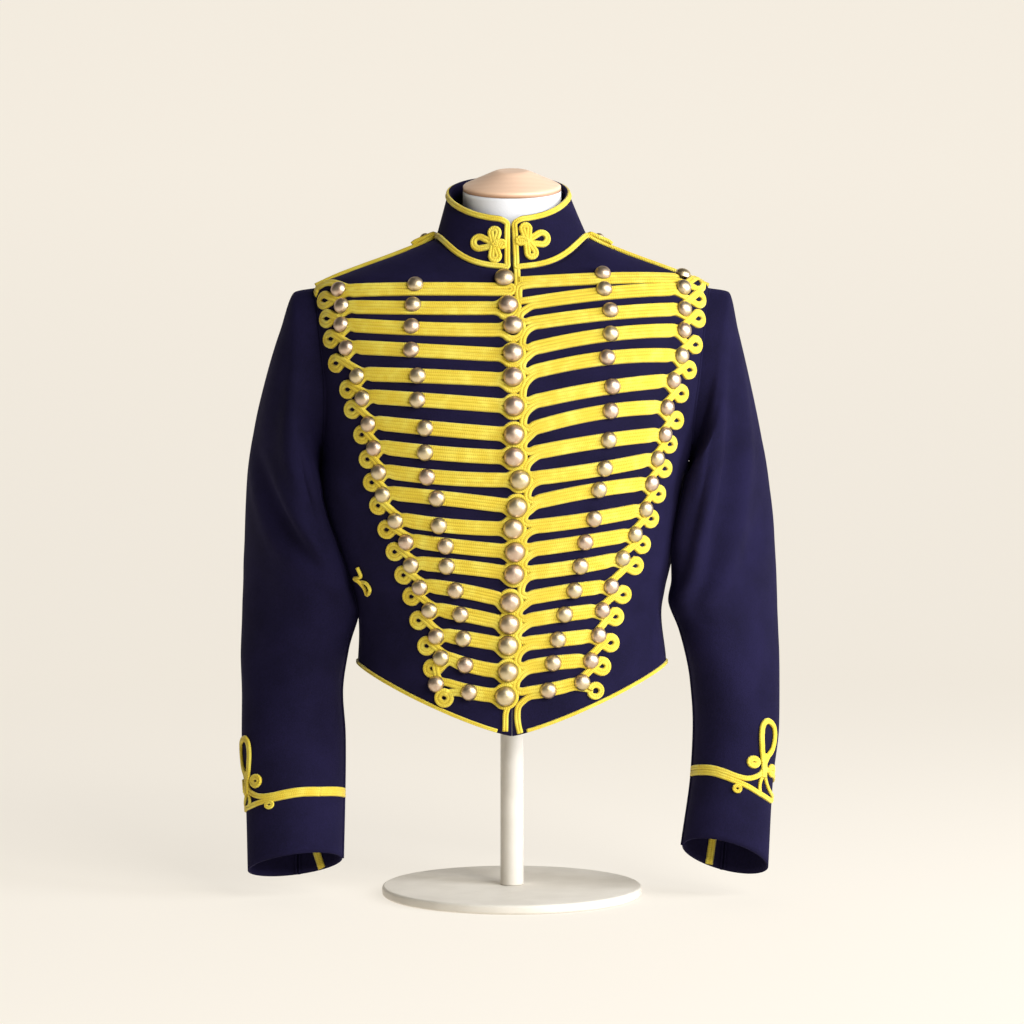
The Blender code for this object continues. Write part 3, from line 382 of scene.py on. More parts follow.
RIDGE_SHARE, RIDGE_AT = 0.45, 1.9  # height of the ridges beside a crease, and distance in its widths
# Soft creases, from one end to the other, by the tunic's own x and z
Crease = namedtuple("Crease", "from_x from_z to_x to_z depth width")
CREASES = {
    (LEFT, FRONT): (
        Crease(-165, 352, -112, 338, 1.6, 8),
        Crease(-160, 318, -100, 312, 1.3, 7),
        Crease(-190, 470, -160, 415, 1.8, 9),
        Crease(-150, 262, -118, 236, 1.0, 9),
    ),
    (RIGHT, FRONT): (
        Crease(165, 348, 128, 332, 1.5, 8),
        Crease(160, 312, 110, 306, 1.2, 7),
        Crease(186, 480, 166, 420, 1.6, 9),
        Crease(146, 266, 112, 232, 1.0, 9),
    ),
    (LEFT, BACK): (
        Crease(-155, 338, -60, 322, 2.4, 9),
        Crease(-140, 304, -34, 310, 1.8, 8),
        Crease(-170, 520, -110, 470, 2.2, 12),
        Crease(-90, 600, -40, 560, 1.4, 14),
        Crease(-120, 400, -70, 360, 1.5, 11),
    ),
    (RIGHT, BACK): (
        Crease(150, 344, 48, 326, 2.2, 8),
        Crease(138, 300, 60, 308, 1.7, 9),
        Crease(172, 508, 120, 455, 2.4, 11),
        Crease(96, 590, 52, 548, 1.2, 13),
        Crease(130, 392, 84, 358, 1.3, 10),
    ),
}
NAVY = (0.0070, 0.0058, 0.0190, 1)
NAVY_LIT = (0.0140, 0.0112, 0.0430, 1)
SHEEN = (0.22, 0.18, 0.62, 1)


def body_size(height, name):
    """One of the body's sizes at a height, eased between its sections."""
    return eased(height, table_column(BODY, "height"), table_column(BODY, name))


def half_width(height, side):
    """Half width of the body on one side."""
    return body_size(height, "half_width") + np.where(np.less(side, 0), body_size(height, "left_more"), 0)


def body_point(turn, height, side, facing):
    """Point of the body's surface, from turn 0 at its centre line to 90 degrees at its side."""
    turn, height = np.broadcast_arrays(turn, height)
    power = 2 / body_size(height, "square")
    x = half_width(height, side) * np.sin(turn) ** power
    y = body_size(height, facing) * np.clip(np.cos(turn), 0, 1) ** power
    return np.stack([side * x, -y if facing == FRONT else y, height], axis=-1)


def bisect(inside, low, high):
    """Heights where a test turns false, by halving the span again and again."""
    for _ in range(HALVINGS):
        middle = (low + high) / 2
        test = inside(middle)
        low, high = np.where(test, middle, low), np.where(test, high, middle)
    return (low + high) / 2


def neck_oval(angle, neck):
    """Plan of the neck, by angle from the front, where it is fuller than an oval by a share."""
    depth = np.where(np.cos(angle) > 0, neck.front * (1 + neck.full * np.sin(angle) ** 2), neck.back)
    return np.stack([neck.half_width * np.sin(angle), -depth * np.cos(angle)], axis=-1)


def neckline_height(angle):
    """Height of the body's surface on the neck oval at the collar's seam."""
    x, y = np.moveaxis(neck_oval(angle, NECK_SEAM), -1, 0)

    def inside(height):
        depth = np.where(y < 0, body_size(height, FRONT), body_size(height, BACK))
        power = body_size(height, "square")
        return (np.abs(x) / body_size(height, "half_width")) ** power + (np.abs(y) / depth) ** power < 1

    return bisect(inside, CHEST * np.ones_like(x), BODY[-1].height * np.ones_like(x))


def hem_height(share, facing):
    """Height of the hem; share is how far out the place is, from the centre line to the side."""
    if facing == FRONT:
        return HEM_POINT + (HEM_SIDE - HEM_POINT) * share**HEM_BOW
    return HEM_BACK + (HEM_SIDE - HEM_BACK) * share


def armhole_reach(height):
    """How far the armhole, an oval, reaches to the front and to the back at a height."""
    return ARMHOLE_REACH * np.sqrt(np.clip(1 - ((height - ARMHOLE_MIDDLE) / ARMHOLE_HALF) ** 2, 0, 1))


def side_rows():
    """Heights of a panel's rows at its outer edge: side seam, armhole, shoulder seam."""
    skirt = np.linspace(HEM_SIDE, WAIST, SKIRT_ROWS + 1)[:-1]
    ribs = np.linspace(WAIST, ARMHOLE_LOW, RIB_ROWS + 1)[:-1]
    armhole = ARMHOLE_MIDDLE - ARMHOLE_HALF * np.cos(np.linspace(0, np.pi, ARMHOLE_ROWS + 1))
    shoulder = np.linspace(ARMHOLE_HIGH, NECK_SIDE, SHOULDER_ROWS + 1)[1:]
    return np.concatenate([skirt, ribs, armhole, shoulder])


def crowded(count):
    """Shares from 0 to 1 that stand closer together towards both ends."""
    share = np.linspace(0, 1, count)
    return share - CROWDING * np.sin(2 * np.pi * share) / (2 * np.pi)


def unit(vectors):
    """Vectors brought to a length of 1."""
    return vectors / np.linalg.norm(vectors, axis=-1, keepdims=True)


def grid_normals(grid, outward):
    """Unit normals of a grid of points; outward is any field of vectors that leave the surface."""
    normals = unit(np.cross(np.gradient(grid, axis=0), np.gradient(grid, axis=1)))
    return normals * np.where(np.sum(normals * outward, axis=-1, keepdims=True) < 0, -1, 1)


def crease_relief(grid, creases):
    """Height of soft troughs: bell-shaped across each, with a low ridge beside it, faded at both ends."""
    total = np.zeros(grid.shape[:2])
    for crease in creases:
        start = np.array([crease.from_x, crease.from_z], float)
        way = np.array([crease.to_x, crease.to_z]) - start
        length = np.linalg.norm(way)
        offset = grid[..., [0, 2]] - start
        along = np.clip(offset @ way / length**2, 0, 1)
        bow = CREASE_BOW * length * np.sin(np.pi * along)
        across = (offset @ np.array([-way[1], way[0]]) / length - bow) / crease.width
        shape = np.exp(-(across**2)) - RIDGE_SHARE * np.exp(-((np.abs(across) - RIDGE_AT) ** 2))
        total -= crease.depth * np.sin(np.pi * along) ** CREASE_FADE * shape
    return total


def turned_in(grid, normals):
    """Add the turned-in edge of a seam before a grid's first column and after its last."""
    added = []
    for edge, inner in EDGES:
        way = unit(grid[:, edge] - grid[:, inner])
        added.append([grid[:, edge] + out * way - deep * normals[:, edge] for out, deep in TURN_IN])
    return np.stack([*added[0][::-1], *np.moveaxis(grid, 1, 0), *added[1]], axis=1)


def draw_back(grid):
    """Move the edge columns of a grid towards their inner neighbours, to leave the seams' gaps."""
    for edge, inner in EDGES:
        grid[:, edge] += unit(grid[:, inner] - grid[:, edge]) * SEAM_PULL


def panel_grid(side, facing):
    """Outer points of a front or back: rows from hem to neck, columns from the centre line outwards."""
    rows, share = side_rows(), crowded(PANEL_COLUMNS + 1)
    power = 2 / body_size(HEM_SIDE, "square")
    low = hem_height(np.sin(share * np.pi / 2) ** power, facing)
    neck_angle = share * np.pi / 2 if facing == FRONT else np.pi - share * np.pi / 2
    high = neckline_height(neck_angle)
    neck_x = np.clip(NECK_SEAM.half_width * np.sin(neck_angle) / body_size(high, "half_width"), 0, 1)
    neck_share = np.arcsin(neck_x ** (body_size(high, "square") / 2)) / (np.pi / 2)
    skirt = np.clip((WAIST - rows) / (WAIST - HEM_SIDE), 0, 1)[:, None]
    yoke = np.clip((rows - CHEST) / (NECK_SIDE - CHEST), 0, 1)[:, None]
    heights = rows[:, None] + skirt * (low - HEM_SIDE) + yoke * (high - NECK_SIDE)
    gathered = np.clip((rows - ARMHOLE_LOW) / (NECK_SIDE - ARMHOLE_LOW), 0, 1)[:, None] ** 2
    reach = armhole_reach(rows) / body_size(rows, facing)
    edge_turn = np.arccos(reach ** (body_size(rows, "square") / 2))[:, None]
    turns = edge_turn * (share + gathered * (neck_share - share))
    grid = body_point(turns, heights, side, facing)
    draw_back(grid)
    normals = grid_normals(grid, grid * (1, 1, 0) + (0, 0, OUT_RISE))
    grid = grid + crease_relief(grid, CREASES[side, facing])[..., None] * normals
    return turned_in(grid, normals)


def cut_layout(grid):
    """Flat coordinates of a grid of points, in millimetres along its rows and columns."""
    across = np.linalg.norm(np.diff(grid, axis=1), axis=-1).cumsum(axis=1)
    along = np.linalg.norm(np.diff(grid, axis=0), axis=-1).cumsum(axis=0)
    return np.stack([np.pad(across, ((0, 0), (1, 0))), np.pad(along, ((1, 0), (0, 0)))], axis=-1)


def cloth_piece(name, grid, nodes, thick=CLOTH, flip=False):
    """Thin shell of wool inside a grid of points."""
    grid = grid[:, ::-1] if flip else grid
    piece = add_piece(name, [woven_grid(grid, cut_layout(grid))], navy_wool, nodes, solid=False)
    wall = piece.modifiers.new("wall", "SOLIDIFY")
    wall.thickness = thick * MM
    wall.offset = -1
    return piece


navy_wool = Finish(
    "navy_wool", Sheen_Weight=0.06, Sheen_Roughness=0.45, Sheen_Tint=SHEEN, Specular_IOR_Level=0.06
)
cloud, fibre = navy_wool.noise(scale=22, detail=4), navy_wool.noise(scale=1500, detail=4, roughness=0.7)
tone = (cloud * 0.3 + fibre * 0.7).spread(0.34, 0.66)
navy_wool.feed("Base Color", tone.mixed(NAVY, NAVY_LIT))
navy_wool.feed("Roughness", fibre * 0.15 + 0.8)
navy_wool.bump(fibre * 0.7 + navy_wool.noise(scale=420, detail=3) * 0.5, distance=0.0006, strength=0.8)

for side in (LEFT, RIGHT):
    for facing in (FRONT, BACK):
        name = f"{facing}_{SIDE_NAMES[side]}"
        flip = (side == LEFT) == (facing == FRONT)
        panel = cloth_piece(name + "_cloth", panel_grid(side, facing), [name], flip=flip)

# Sleeves. Two pieces of the same wool each, seamed along the inner edge and the back; they hang from the
# armhole, bend a little at the elbow, and break into soft folds there and below the shoulder.
SleeveRing = namedtuple("SleeveRing", "outer_x outer_y outer_z inner_x inner_y inner_z half_depth front_rise")
SLEEVE = {
    LEFT: (
        SleeveRing(234, 2, 650, 204.5, -2, 466, 56, 0),
        SleeveRing(251, 10, 608, 206, -12, 457, 61, 0),
        SleeveRing(268, 26, 558, 204, -34, 445, 62, 0),
        SleeveRing(282, 42, 506, 202, -45, 429, 60, 0),
        SleeveRing(291, 52, 452, 197, -45, 408, 58, 0),
        SleeveRing(294.5, 56, 392, 184, -44, 374, 56, 0),
        SleeveRing(295.5, 54, 345, 173, -40, 340, 55, 0),
        SleeveRing(296.5, 48, 308, 165, -28, 309, 55, 0),
        SleeveRing(296.5, 36, 262, 177.5, -8, 264, 54, 0),
        SleeveRing(293.5, 18, 215, 184, -4, 217, 52, 0),
        SleeveRing(291.5, -2, 168, 181, -6, 172, 48.5, 2),
        SleeveRing(284.5, -25, 102, 180, -25, 112, 41, 9),
        SleeveRing(281, -40, 30, 180.5, -40, 44, 37, 16),
    ),
    RIGHT: (
        SleeveRing(233.5, 2, 650, 193.5, -2, 467, 56, 0),
        SleeveRing(245, 10, 608, 191.5, -12, 460, 61, 0),
        SleeveRing(258.5, 26, 558, 185, -38, 450, 62, 0),
        SleeveRing(272, 42, 502, 181, -45, 433, 60, 0),
        SleeveRing(282, 52, 450, 176, -45, 408, 58, 0),
        SleeveRing(289, 56, 390, 171.5, -42, 374, 56, 0),
        SleeveRing(290.5, 54, 345, 172, -30, 342, 55, 0),
        SleeveRing(291.5, 48, 312, 169, -22, 319, 55, 0),
        SleeveRing(291.5, 36, 275, 182, -8, 284, 54, 0),
        SleeveRing(290.5, 18, 228, 193.5, -4, 232, 52, 0),
        SleeveRing(288, -2, 180, 196.5, -6, 187, 48, 2),
        SleeveRing(279, -23, 122, 193, -23, 135, 41, 9),
        SleeveRing(272.5, -40, 34, 181, -40, 58, 37, 20),
    ),
}
# Folds and creases of a sleeve, by ring and by degrees from its outer edge round its front
SleeveFold = namedtuple("SleeveFold", "from_ring from_angle to_ring to_angle depth spread")
SLEEVE_FOLDS = {
    LEFT: (
        SleeveFold(4, 140, 9, 140, 4, 26),
        SleeveFold(6, 60, 9, 60, 3, 24),
        SleeveFold(1, 212, 8, 212, 7, 24),
    ),
    RIGHT: (
        SleeveFold(1, 148, 7, 148, 6, 24),
        SleeveFold(1, 82, 7, 82, 5, 20),
        SleeveFold(1, 212, 8, 212, 7, 24),
    ),
}
SLEEVE_CREASES = {
    LEFT: (
        SleeveFold(4.2, 48, 7.0, 126, 7.5, 14),
        SleeveFold(1.6, 60, 4.6, 75, 2.2, 13),
        SleeveFold(2.2, 112, 6.2, 150, 5.0, 14),
        SleeveFold(6.6, 95, 8.6, 150, 2.2, 16),
        SleeveFold(8.4, 40, 10.6, 90, 1.4, 18),
        SleeveFold(4.5, 330, 6.8, 290, 2.6, 16),
        SleeveFold(6.2, 345, 8.2, 300, 2.2, 14),
        SleeveFold(2.0, 320, 4.6, 275, 2.4, 18),
        SleeveFold(8.6, 310, 10.8, 260, 1.6, 18),
    ),
    RIGHT: (
        SleeveFold(1.6, 54, 8.8, 134, 11.0, 12),
        SleeveFold(1.6, 92, 8.0, 160, 6.0, 22),
        SleeveFold(5.2, 40, 7.4, 96, 2.4, 15),
        SleeveFold(7.0, 70, 9.2, 140, 2.0, 17),
        SleeveFold(8.8, 30, 10.8, 80, 1.3, 18),
        SleeveFold(4.2, 335, 6.6, 285, 2.8, 15),
        SleeveFold(6.0, 350, 8.4, 305, 2.0, 16),
        SleeveFold(1.8, 315, 4.2, 270, 2.2, 17),
        SleeveFold(8.2, 320, 10.6, 270, 1.7, 19),
    ),
}
SLEEVE_RIDGE = 0.4  # height of the ridges beside a crease, as a share of its depth
SLEEVE_GAP = 0.2  # between the armhole's edge and the sleeve
SLEEVE_ROWS = 170
SEAM_DEGREES = (-90, 180, 270)  # back seam, inner seam, back seam
TOP_COLUMNS, UNDER_COLUMNS = 108, 46


def body_x(y, height, side):
    """Half width of the body on one side, at a depth."""
    power = body_size(height, "square")
    depth = np.where(y < 0, body_size(height, FRONT), body_size(height, BACK))
    share = np.clip(np.abs(y) / depth, 0, 1)
    return half_width(height, side) * (1 - share**power) ** (1 / power)


def fold_shape(folds, ring, degrees):
    """Depth of folds: bell-shaped across each, on a line from its first ring and angle to its last."""
    total = np.zeros(np.broadcast(ring, degrees).shape)
    for fold in folds:
        along = np.clip((ring - fold.from_ring) / (fold.to_ring - fold.from_ring), 0, 1)
        middle = fold.from_angle + along * (fold.to_angle - fold.from_angle)
        across = ((degrees - middle + 180) % 360 - 180) / fold.spread
        total = total + fold.depth * np.sin(np.pi * along) * np.exp(-(across**2))
    return total


def sleeve_rings(side, degrees):
    """Points at some angles on the armhole and then on every ring of a sleeve."""
    angles = np.radians(degrees)
    z = ARMHOLE_MIDDLE + ARMHOLE_HALF * np.cos(angles)
    y = -ARMHOLE_REACH * np.sin(angles)
    rows = [np.stack([side * (body_x(y, z, side) + SLEEVE_GAP), y, z], axis=-1)]
    for number, ring in enumerate(SLEEVE[side], 1):
        outer = np.array([ring.outer_x, ring.outer_y, ring.outer_z])
        inner = np.array([ring.inner_x, ring.inner_y, ring.inner_z])
        forward = np.array([0, -ring.half_depth, ring.front_rise])
        spoke = np.cos(angles)[..., None] * (outer - inner) / 2 + np.sin(angles)[..., None] * forward
        length = np.linalg.norm(spoke, axis=-1, keepdims=True)
        spoke = spoke * (1 - fold_shape(SLEEVE_FOLDS[side], number, degrees)[..., None] / length)
        rows.append(((outer + inner) / 2 + spoke) * (side, 1, 1))
    return np.array(rows)


def sleeve_point(side, degrees, ring):
    """Point of a sleeve by degrees round it and by ring along it, eased from ring to ring."""
    degrees, ring = np.broadcast_arrays(np.asarray(degrees, float), np.asarray(ring, float))
    rows = sleeve_rings(side, degrees)
    return eased(ring, np.arange(len(rows)), rows)


def ridge_beside(crease, way):
    """The low ridge on one side of a sleeve's crease."""
    aside = way * RIDGE_AT * crease.spread
    return crease._replace(
        depth=SLEEVE_RIDGE * crease.depth,
        from_angle=crease.from_angle + aside,
        to_angle=crease.to_angle + aside,
    )


def sleeve_grid(side, first, last, columns):
    """Outer points of a sleeve from seam to seam, with its creases: rows from the armhole to the cuff."""
    degrees = first + (last - first) * crowded(columns + 1)
    ring = np.linspace(0, len(SLEEVE[side]), SLEEVE_ROWS + 1)[:, None]
    grid = sleeve_point(side, degrees, ring)
    middle = (sleeve_point(side, 0, ring) + sleeve_point(side, 180, ring)) / 2
    normals = grid_normals(grid, grid - middle)
    creases = SLEEVE_CREASES[side]
    ridges = [ridge_beside(crease, way) for crease in creases for way in (-1, 1)]
    relief = fold_shape(ridges, ring, degrees) - fold_shape(creases, ring, degrees)
    grid = grid + relief[..., None] * normals
    draw_back(grid)
    return turned_in(grid, normals)


for side in (LEFT, RIGHT):
    for half, first, last, columns in (
        ("top", *SEAM_DEGREES[:2], TOP_COLUMNS),
        ("under", *SEAM_DEGREES[1:], UNDER_COLUMNS),
    ):
        name = f"sleeve_{half}_{SIDE_NAMES[side]}"
        grid = sleeve_grid(side, first, last, columns)
        sleeve = cloth_piece(name + "_cloth", grid, [name], flip=side == LEFT)

# Collar. One stiffened band of the wool that stands on the neckline, leans in, and closes edge to edge at the
# front, where its top corners are rounded.
COLLAR_CLOTH = 3.0
COLLAR_TOP = Neck(64.5, 62, 66, 0)
COLLAR_LEAN = (-1.3, -4.2)  # how far its top edge stands off along X, at the front and at the sides
COLLAR_MEAN, COLLAR_TILT, COLLAR_WAVE = 756, 30, 2  # its top edge rises from the front to the back
COLLAR_CORNER = 12  # radius
COLLAR_OPENING = 1.6  # half the gap at the front
COLLAR_GAP, COLLAR_TUCK = 0.2, 0.02  # its foot above the neckline, and the share tucked below it
COLLAR_ROWS, COLLAR_COLUMNS = 24, 220


def collar_span(angle):
    """Heights of the collar's seam and of its top edge, with the rounded corners at the front."""
    top_x = neck_oval(angle, COLLAR_TOP)[..., 0]
    from_edge = np.where(np.cos(angle) > 0, np.abs(top_x) - COLLAR_OPENING, COLLAR_CORNER)
    short = np.clip(COLLAR_CORNER - from_edge, 0, COLLAR_CORNER)
    top = COLLAR_MEAN - COLLAR_TILT * np.cos(angle) - COLLAR_WAVE * np.cos(2 * angle)
    return neckline_height(angle) + COLLAR_GAP, top - COLLAR_CORNER + np.sqrt(COLLAR_CORNER**2 - short**2)


def collar_lean(angle):
    """How far the top edge stands off along X, between its values at the front and at the sides."""
    front, side = COLLAR_LEAN
    return front + (side - front) * np.sin(angle) ** 2


def collar_surface(degrees, level):
    """Point of the collar by degrees from the front and by level, from 0 at its seam to 1 at its top edge."""
    degrees, level = np.broadcast_arrays(np.asarray(degrees, float), np.asarray(level, float))
    angle = np.radians(degrees)
    seam, top = neck_oval(angle, NECK_SEAM), neck_oval(angle, COLLAR_TOP)
    plan = seam + level[..., None] * (top - seam)
    plan[..., 0] += level * collar_lean(angle)
    low, high = collar_span(angle)
    return np.concatenate([plan, (low + level * (high - low))[..., None]], axis=-1)


def collar_start(inset):
    """Degrees from the front to a line that stands back from the collar's front edge by an inset."""
    return np.degrees(np.arcsin((COLLAR_OPENING + inset) / COLLAR_TOP.half_width))


edge = collar_start(0)
round_neck = edge + (360 - 2 * edge) * crowded(COLLAR_COLUMNS + 1)
collar_grid = collar_surface(round_neck[None], np.linspace(-COLLAR_TUCK, 1, COLLAR_ROWS + 1)[:, None])
collar = cloth_piece("collar_cloth", collar_grid, ["collar"], thick=COLLAR_CLOTH)

# Frogging. One flat plaited braid with a groove along its middle, laid in eighteen rows across each front: on
# the left it rings each centre button and curls round on itself between rows; on the right it turns back.
# The three buttons of each row and the curl at its end, as x and z seen from the front, from the collar down
FrogRow = namedtuple("FrogRow", "centre left_mid left_end left_curl right_mid right_end right_curl")
FROG = (
    FrogRow((-8, 655), (-101, 649), (-182, 646), (-198, 636), (95, 661), (181, 662), (197, 654)),
    FrogRow((-4, 626), (-103, 627), (-178, 628), (-195, 616), (96, 644), (180, 648), (197, 637)),
    FrogRow((1, 604), (-104, 604), (-178, 608), (-190, 594), (102, 621), (180, 625), (196, 616)),
    FrogRow((1, 575), (-104, 579), (-172, 583), (-184, 568), (102, 596), (179, 602), (192, 588)),
    FrogRow((1, 550), (-97, 552), (-160, 553), (-171, 540), (98, 571), (176, 575), (185, 561)),
    FrogRow((2, 520), (-97, 527), (-154, 530), (-166, 519), (103, 541), (167, 549), (176, 536)),
    FrogRow((2, 491), (-89, 498), (-148, 503), (-155.5, 492.5), (101, 516), (160, 521), (171, 508)),
    FrogRow((2, 468), (-89, 473), (-142, 478), (-149.5, 467), (99, 486), (158, 493), (164, 483)),
    FrogRow((8, 445), (-87, 448), (-137, 453), (-145, 443), (95, 457), (150, 468), (158.6, 457.5)),
    FrogRow((5, 417), (-77, 426), (-133, 430), (-138.5, 419), (89, 435), (144, 442), (152, 431)),
    FrogRow((1, 395), (-75, 398), (-120, 403), (-130, 394), (84, 405), (138, 415), (144.4, 405)),
    FrogRow((3, 371), (-68, 377), (-109, 381), (-121.5, 371), (75, 381), (127, 389), (135.5, 378)),
    FrogRow((2, 348), (-67, 356), (-104, 357), (-112.4, 346.8), (70, 356), (114, 364), (128, 356)),
    FrogRow((-2, 319), (-58, 331), (-95, 334), (-104.2, 324.5), (64, 331), (102, 335), (115, 326)),
    FrogRow((-3, 296), (-53, 306), (-85, 310), (-96.8, 299.6), (54, 306), (93, 310), (107, 303)),
    FrogRow((-4, 274), (-50, 281), (-78, 283), (-88.4, 273.2), (47, 280), (89, 284), (102, 276)),
    FrogRow((-4, 247), (-48, 254), (-73, 261), (-82.4, 250), (42, 256), (81, 258), (93, 252)),
    FrogRow((-7, 222), (-44, 226), (-78, 234), (-70, 220), (37, 228), (72, 236), (86, 227)),
)
# How far the braid of the top rows runs below its centre, middle and end button
ROW_SAG = {
    LEFT: {
        1: (11, 4, 1),
        2: (2, 2.5, 0.5),
        3: (3.4, 1.5, -0.5),
        4: (1.5, -0.5, -1.5),
        5: (2.5, -0.5, -2.5),
    },
    RIGHT: {1: (4.5, 4, 2), 2: (1, 4, 1), 3: (0, 2.5, 0)},
}
USUAL_SAG = {LEFT: (0, -0.7, -2.2), RIGHT: (0, 0, 0)}
STRAND = 3.5  # half the distance between a row's two strands
STRAND_STEP, STRAND_LEAST = 9, 3  # between the places of a straight run, and how many it has at least
BRAID_WIDTH, BRAID_HIGH, BRAID_STEP = 8.4, 2.5, 2.0
PLAIT_POINTS, PLAIT_SHARE = 15, 0.28  # across the braid's face, and of its height that the two plaits make
BACK_SHARE, BACK_DEEP = 0.42, 0.5  # half the braid's back in widths, and how deep it sits in the cloth
END_LAID = 0.1  # length that a closed end takes up in the layout
WIDEST = 0.999  # largest share of the body's half width that a place on a front may have
CURL_RADIUS = 6.1
CURL_NECK = 127  # degrees on either side of a curl's outer point where its strands leave the round
CURL_LIFT, CURL_CROSSES = 1.7, (30, 120)  # of the strand that crosses over, and the degrees in which it rises
CLOSE_FROM = {LEFT: 50, RIGHT: 170}  # degrees at which the last curl of each front begins
ARC_PLACES, CIRCLE_PLACES = 11, 13
# How far inside its end button a strand leaves a row for a curl, joins the next row, and leaves the last row
LEAVE_ROW, JOIN_ROW, LEAVE_LAST = 7, 2, 22
RING_RADIUS, RING_OPEN = 10.0, 145  # round a centre button, and degrees on either side of its inner point
RING_CLEAR = 14  # how far short of its centre button a left row's strands end
# In the left top row: the strands' end short of the centre button, the join, and the run past that button
TOP_CLEAR, TOP_JOIN, TOP_RUN_ON = 2, 9, 5.5
TIP_BEND = ((-207, 644.5), (-209, 648.5), (-204, 652.5), (-195, 655), (-186, 653.5))  # at the left shoulder
TURN_BACK = 9.0  # from a centre button to the middle of the strand that turns back on the right
TOP_TURN = 6.8  # the same strand below the top row, from the centre line
STRAIGHT_FROM = 13  # from that strand to where its two rows run straight
# Places of that strand: how far out, how far up, and from what share of the gap between its rows' middles
TOP_BEND = ((2.4, 4.6, 0), (0, 8, 0), (0, -8, 1), (2.4, -4.6, 1))
TURN_BEND = ((7.0, 3.9, 0), (2.0, 5.0, 0), (0.2, 8.2, 0), (1.6, 0, 0.58), (6.0, -5.4, 1))
# The right front's top strand: above its row's middle, its start, and how far it runs past its end button
TOP_STRAND, TOP_STRAND_FROM, TOP_STRAND_PAST = 2.6, 7, 4
FOOT_STRAND_FROM = 18  # where the right front's last strand starts
# Short runs along the front edges as x and z, and the width and height of their braids
LEFT_FOOT = ((-4, 212), (-6.5, 204), (-6.8, 196), (-7, 186))
RIGHT_TOP = ((4.6, 677), (5, 666), (5.4, 656), (6, 644))
RIGHT_FOOT = ((8.5, 184), (6.5, 192), (5.5, 202), (6.5, 211), (11, 216.5))
LEFT_FOOT_BRAID, RIGHT_TOP_BRAID, RIGHT_FOOT_BRAID = (6.2, 2.2), (7.6, 2.4), (6.6, 2.4)
RIGHT_TOP_SINK = 0.5  # so that the first rows lie over it
THREAD_TURN, THREAD_SLANT = 3.3, 9.0  # of the threads' pattern, to a millimetre along and to a width across
YELLOW = (0.80, 0.645, 0.054, 1)
# Painted shade: the darker yellow between the threads' wraps
YELLOW_THREAD_SHADE = (0.73, 0.51, 0.028, 1)
# Painted highlight: the pale yellow of random patches
YELLOW_PALE_HIGHLIGHT = (0.85, 0.73, 0.10, 1)
# Painted shade: the darker yellow along each braid's middle groove
YELLOW_GROOVE_SHADE = (0.64, 0.39, 0.019, 1)


def front_surface(x, z):
    """Point of the front at a place as seen from the front."""
    x, z = np.broadcast_arrays(np.asarray(x, float), np.asarray(z, float))
    power = body_size(z, "square")
    share = np.clip(np.abs(x) / half_width(z, x), 0, WIDEST)
    return np.stack([x, -body_size(z, FRONT) * (1 - share**power) ** (1 / power), z], axis=-1)


def with_normals(surface, u, v, step=0.5):
    """Points of a surface and its unit normals there, along the cross product of its u and v directions."""
    along_u = surface(u + step, v) - surface(u - step, v)
    along_v = surface(u, v + step) - surface(u, v - step)
    return surface(u, v), unit(np.cross(along_u, along_v))


def soutache(width=BRAID_WIDTH, high=BRAID_HIGH):
    """Section of the braid, across and up: two rounded plaits with a groove between them, and a flat back."""
    across = np.linspace(-1, 1, PLAIT_POINTS)
    plaits = np.sqrt(np.clip(1 - (2 * np.abs(across) - 1) ** 2, 0, 1))
    rise = high * ((1 - PLAIT_SHARE) * np.sqrt(1 - across**4) + PLAIT_SHARE * plaits)
    back = [(BACK_SHARE * width, -BACK_DEEP), (-BACK_SHARE * width, -BACK_DEEP)]
    return np.concatenate([np.stack([across * width / 2, rise], axis=-1), back])


def swept(path, section, closed=False):
    """Section carried along a path of points and normals; laid out by length and by place across its face."""
    points, normals = path[:, :3], unit(path[:, 3:6])
    if closed:
        along = np.roll(points, -1, axis=0) - np.roll(points, 1, axis=0)
    else:
        along = np.gradient(points, axis=0)
    across = unit(np.cross(along, normals))
    grid = points[:, None] + section[:, :1] * across[:, None] + section[:, 1:] * normals[:, None]
    steps = np.linalg.norm(np.diff(points, axis=0, append=points[:1]), axis=-1)
    if not closed:
        ends = grid[[0, -1]].mean(axis=1, keepdims=True) * np.ones((1, len(section), 1))
        grid = np.concatenate([ends[:1], grid, ends[1:]])
        steps = np.concatenate([[END_LAID], steps[:-1], [END_LAID]])
    length = np.concatenate([[0], np.cumsum(steps)])[: len(grid) + closed]
    share = np.arange(len(section) + 1) / (len(section) - 3)
    uv = np.stack(np.meshgrid(share, length), axis=-1)
    return woven_grid(grid, uv, loop_rows=closed, loop_columns=True)


def laid_on(points, normals, lift, section, closed=False):
    """Section swept along points of a surface, lifted off it along its normals."""
    return swept(np.concatenate([points + lift[:, None] * normals, normals], axis=-1), section, closed)


def front_braid(places, section, closed=False, step=BRAID_STEP):
    """Section swept along places on the fronts: x, z, and the lift where one strand crosses another."""
    path = smooth_path(places, step, closed)
    return laid_on(*with_normals(front_surface, path[:, 0], path[:, 1]), path[:, 2], section, closed)


def level_places(x, z, lift=0.0):
    """Rows of x, z and lift, from numbers or arrays."""
    return np.stack(np.broadcast_arrays(np.asarray(x, float), z, lift), axis=-1)


def arc_places(middle, radius, degrees, lift=0.0):
    """Places on a circle, by degrees from its right-hand side."""
    angles = np.radians(degrees)
    return level_places(middle[0] + radius * np.cos(angles), middle[1] + radius * np.sin(angles), lift)


def frog_place(number, side, part):
    """Where a row's middle button, end button or curl sits on one side."""
    return getattr(FROG[number - 1], f"{SIDE_NAMES[side]}_{part}")


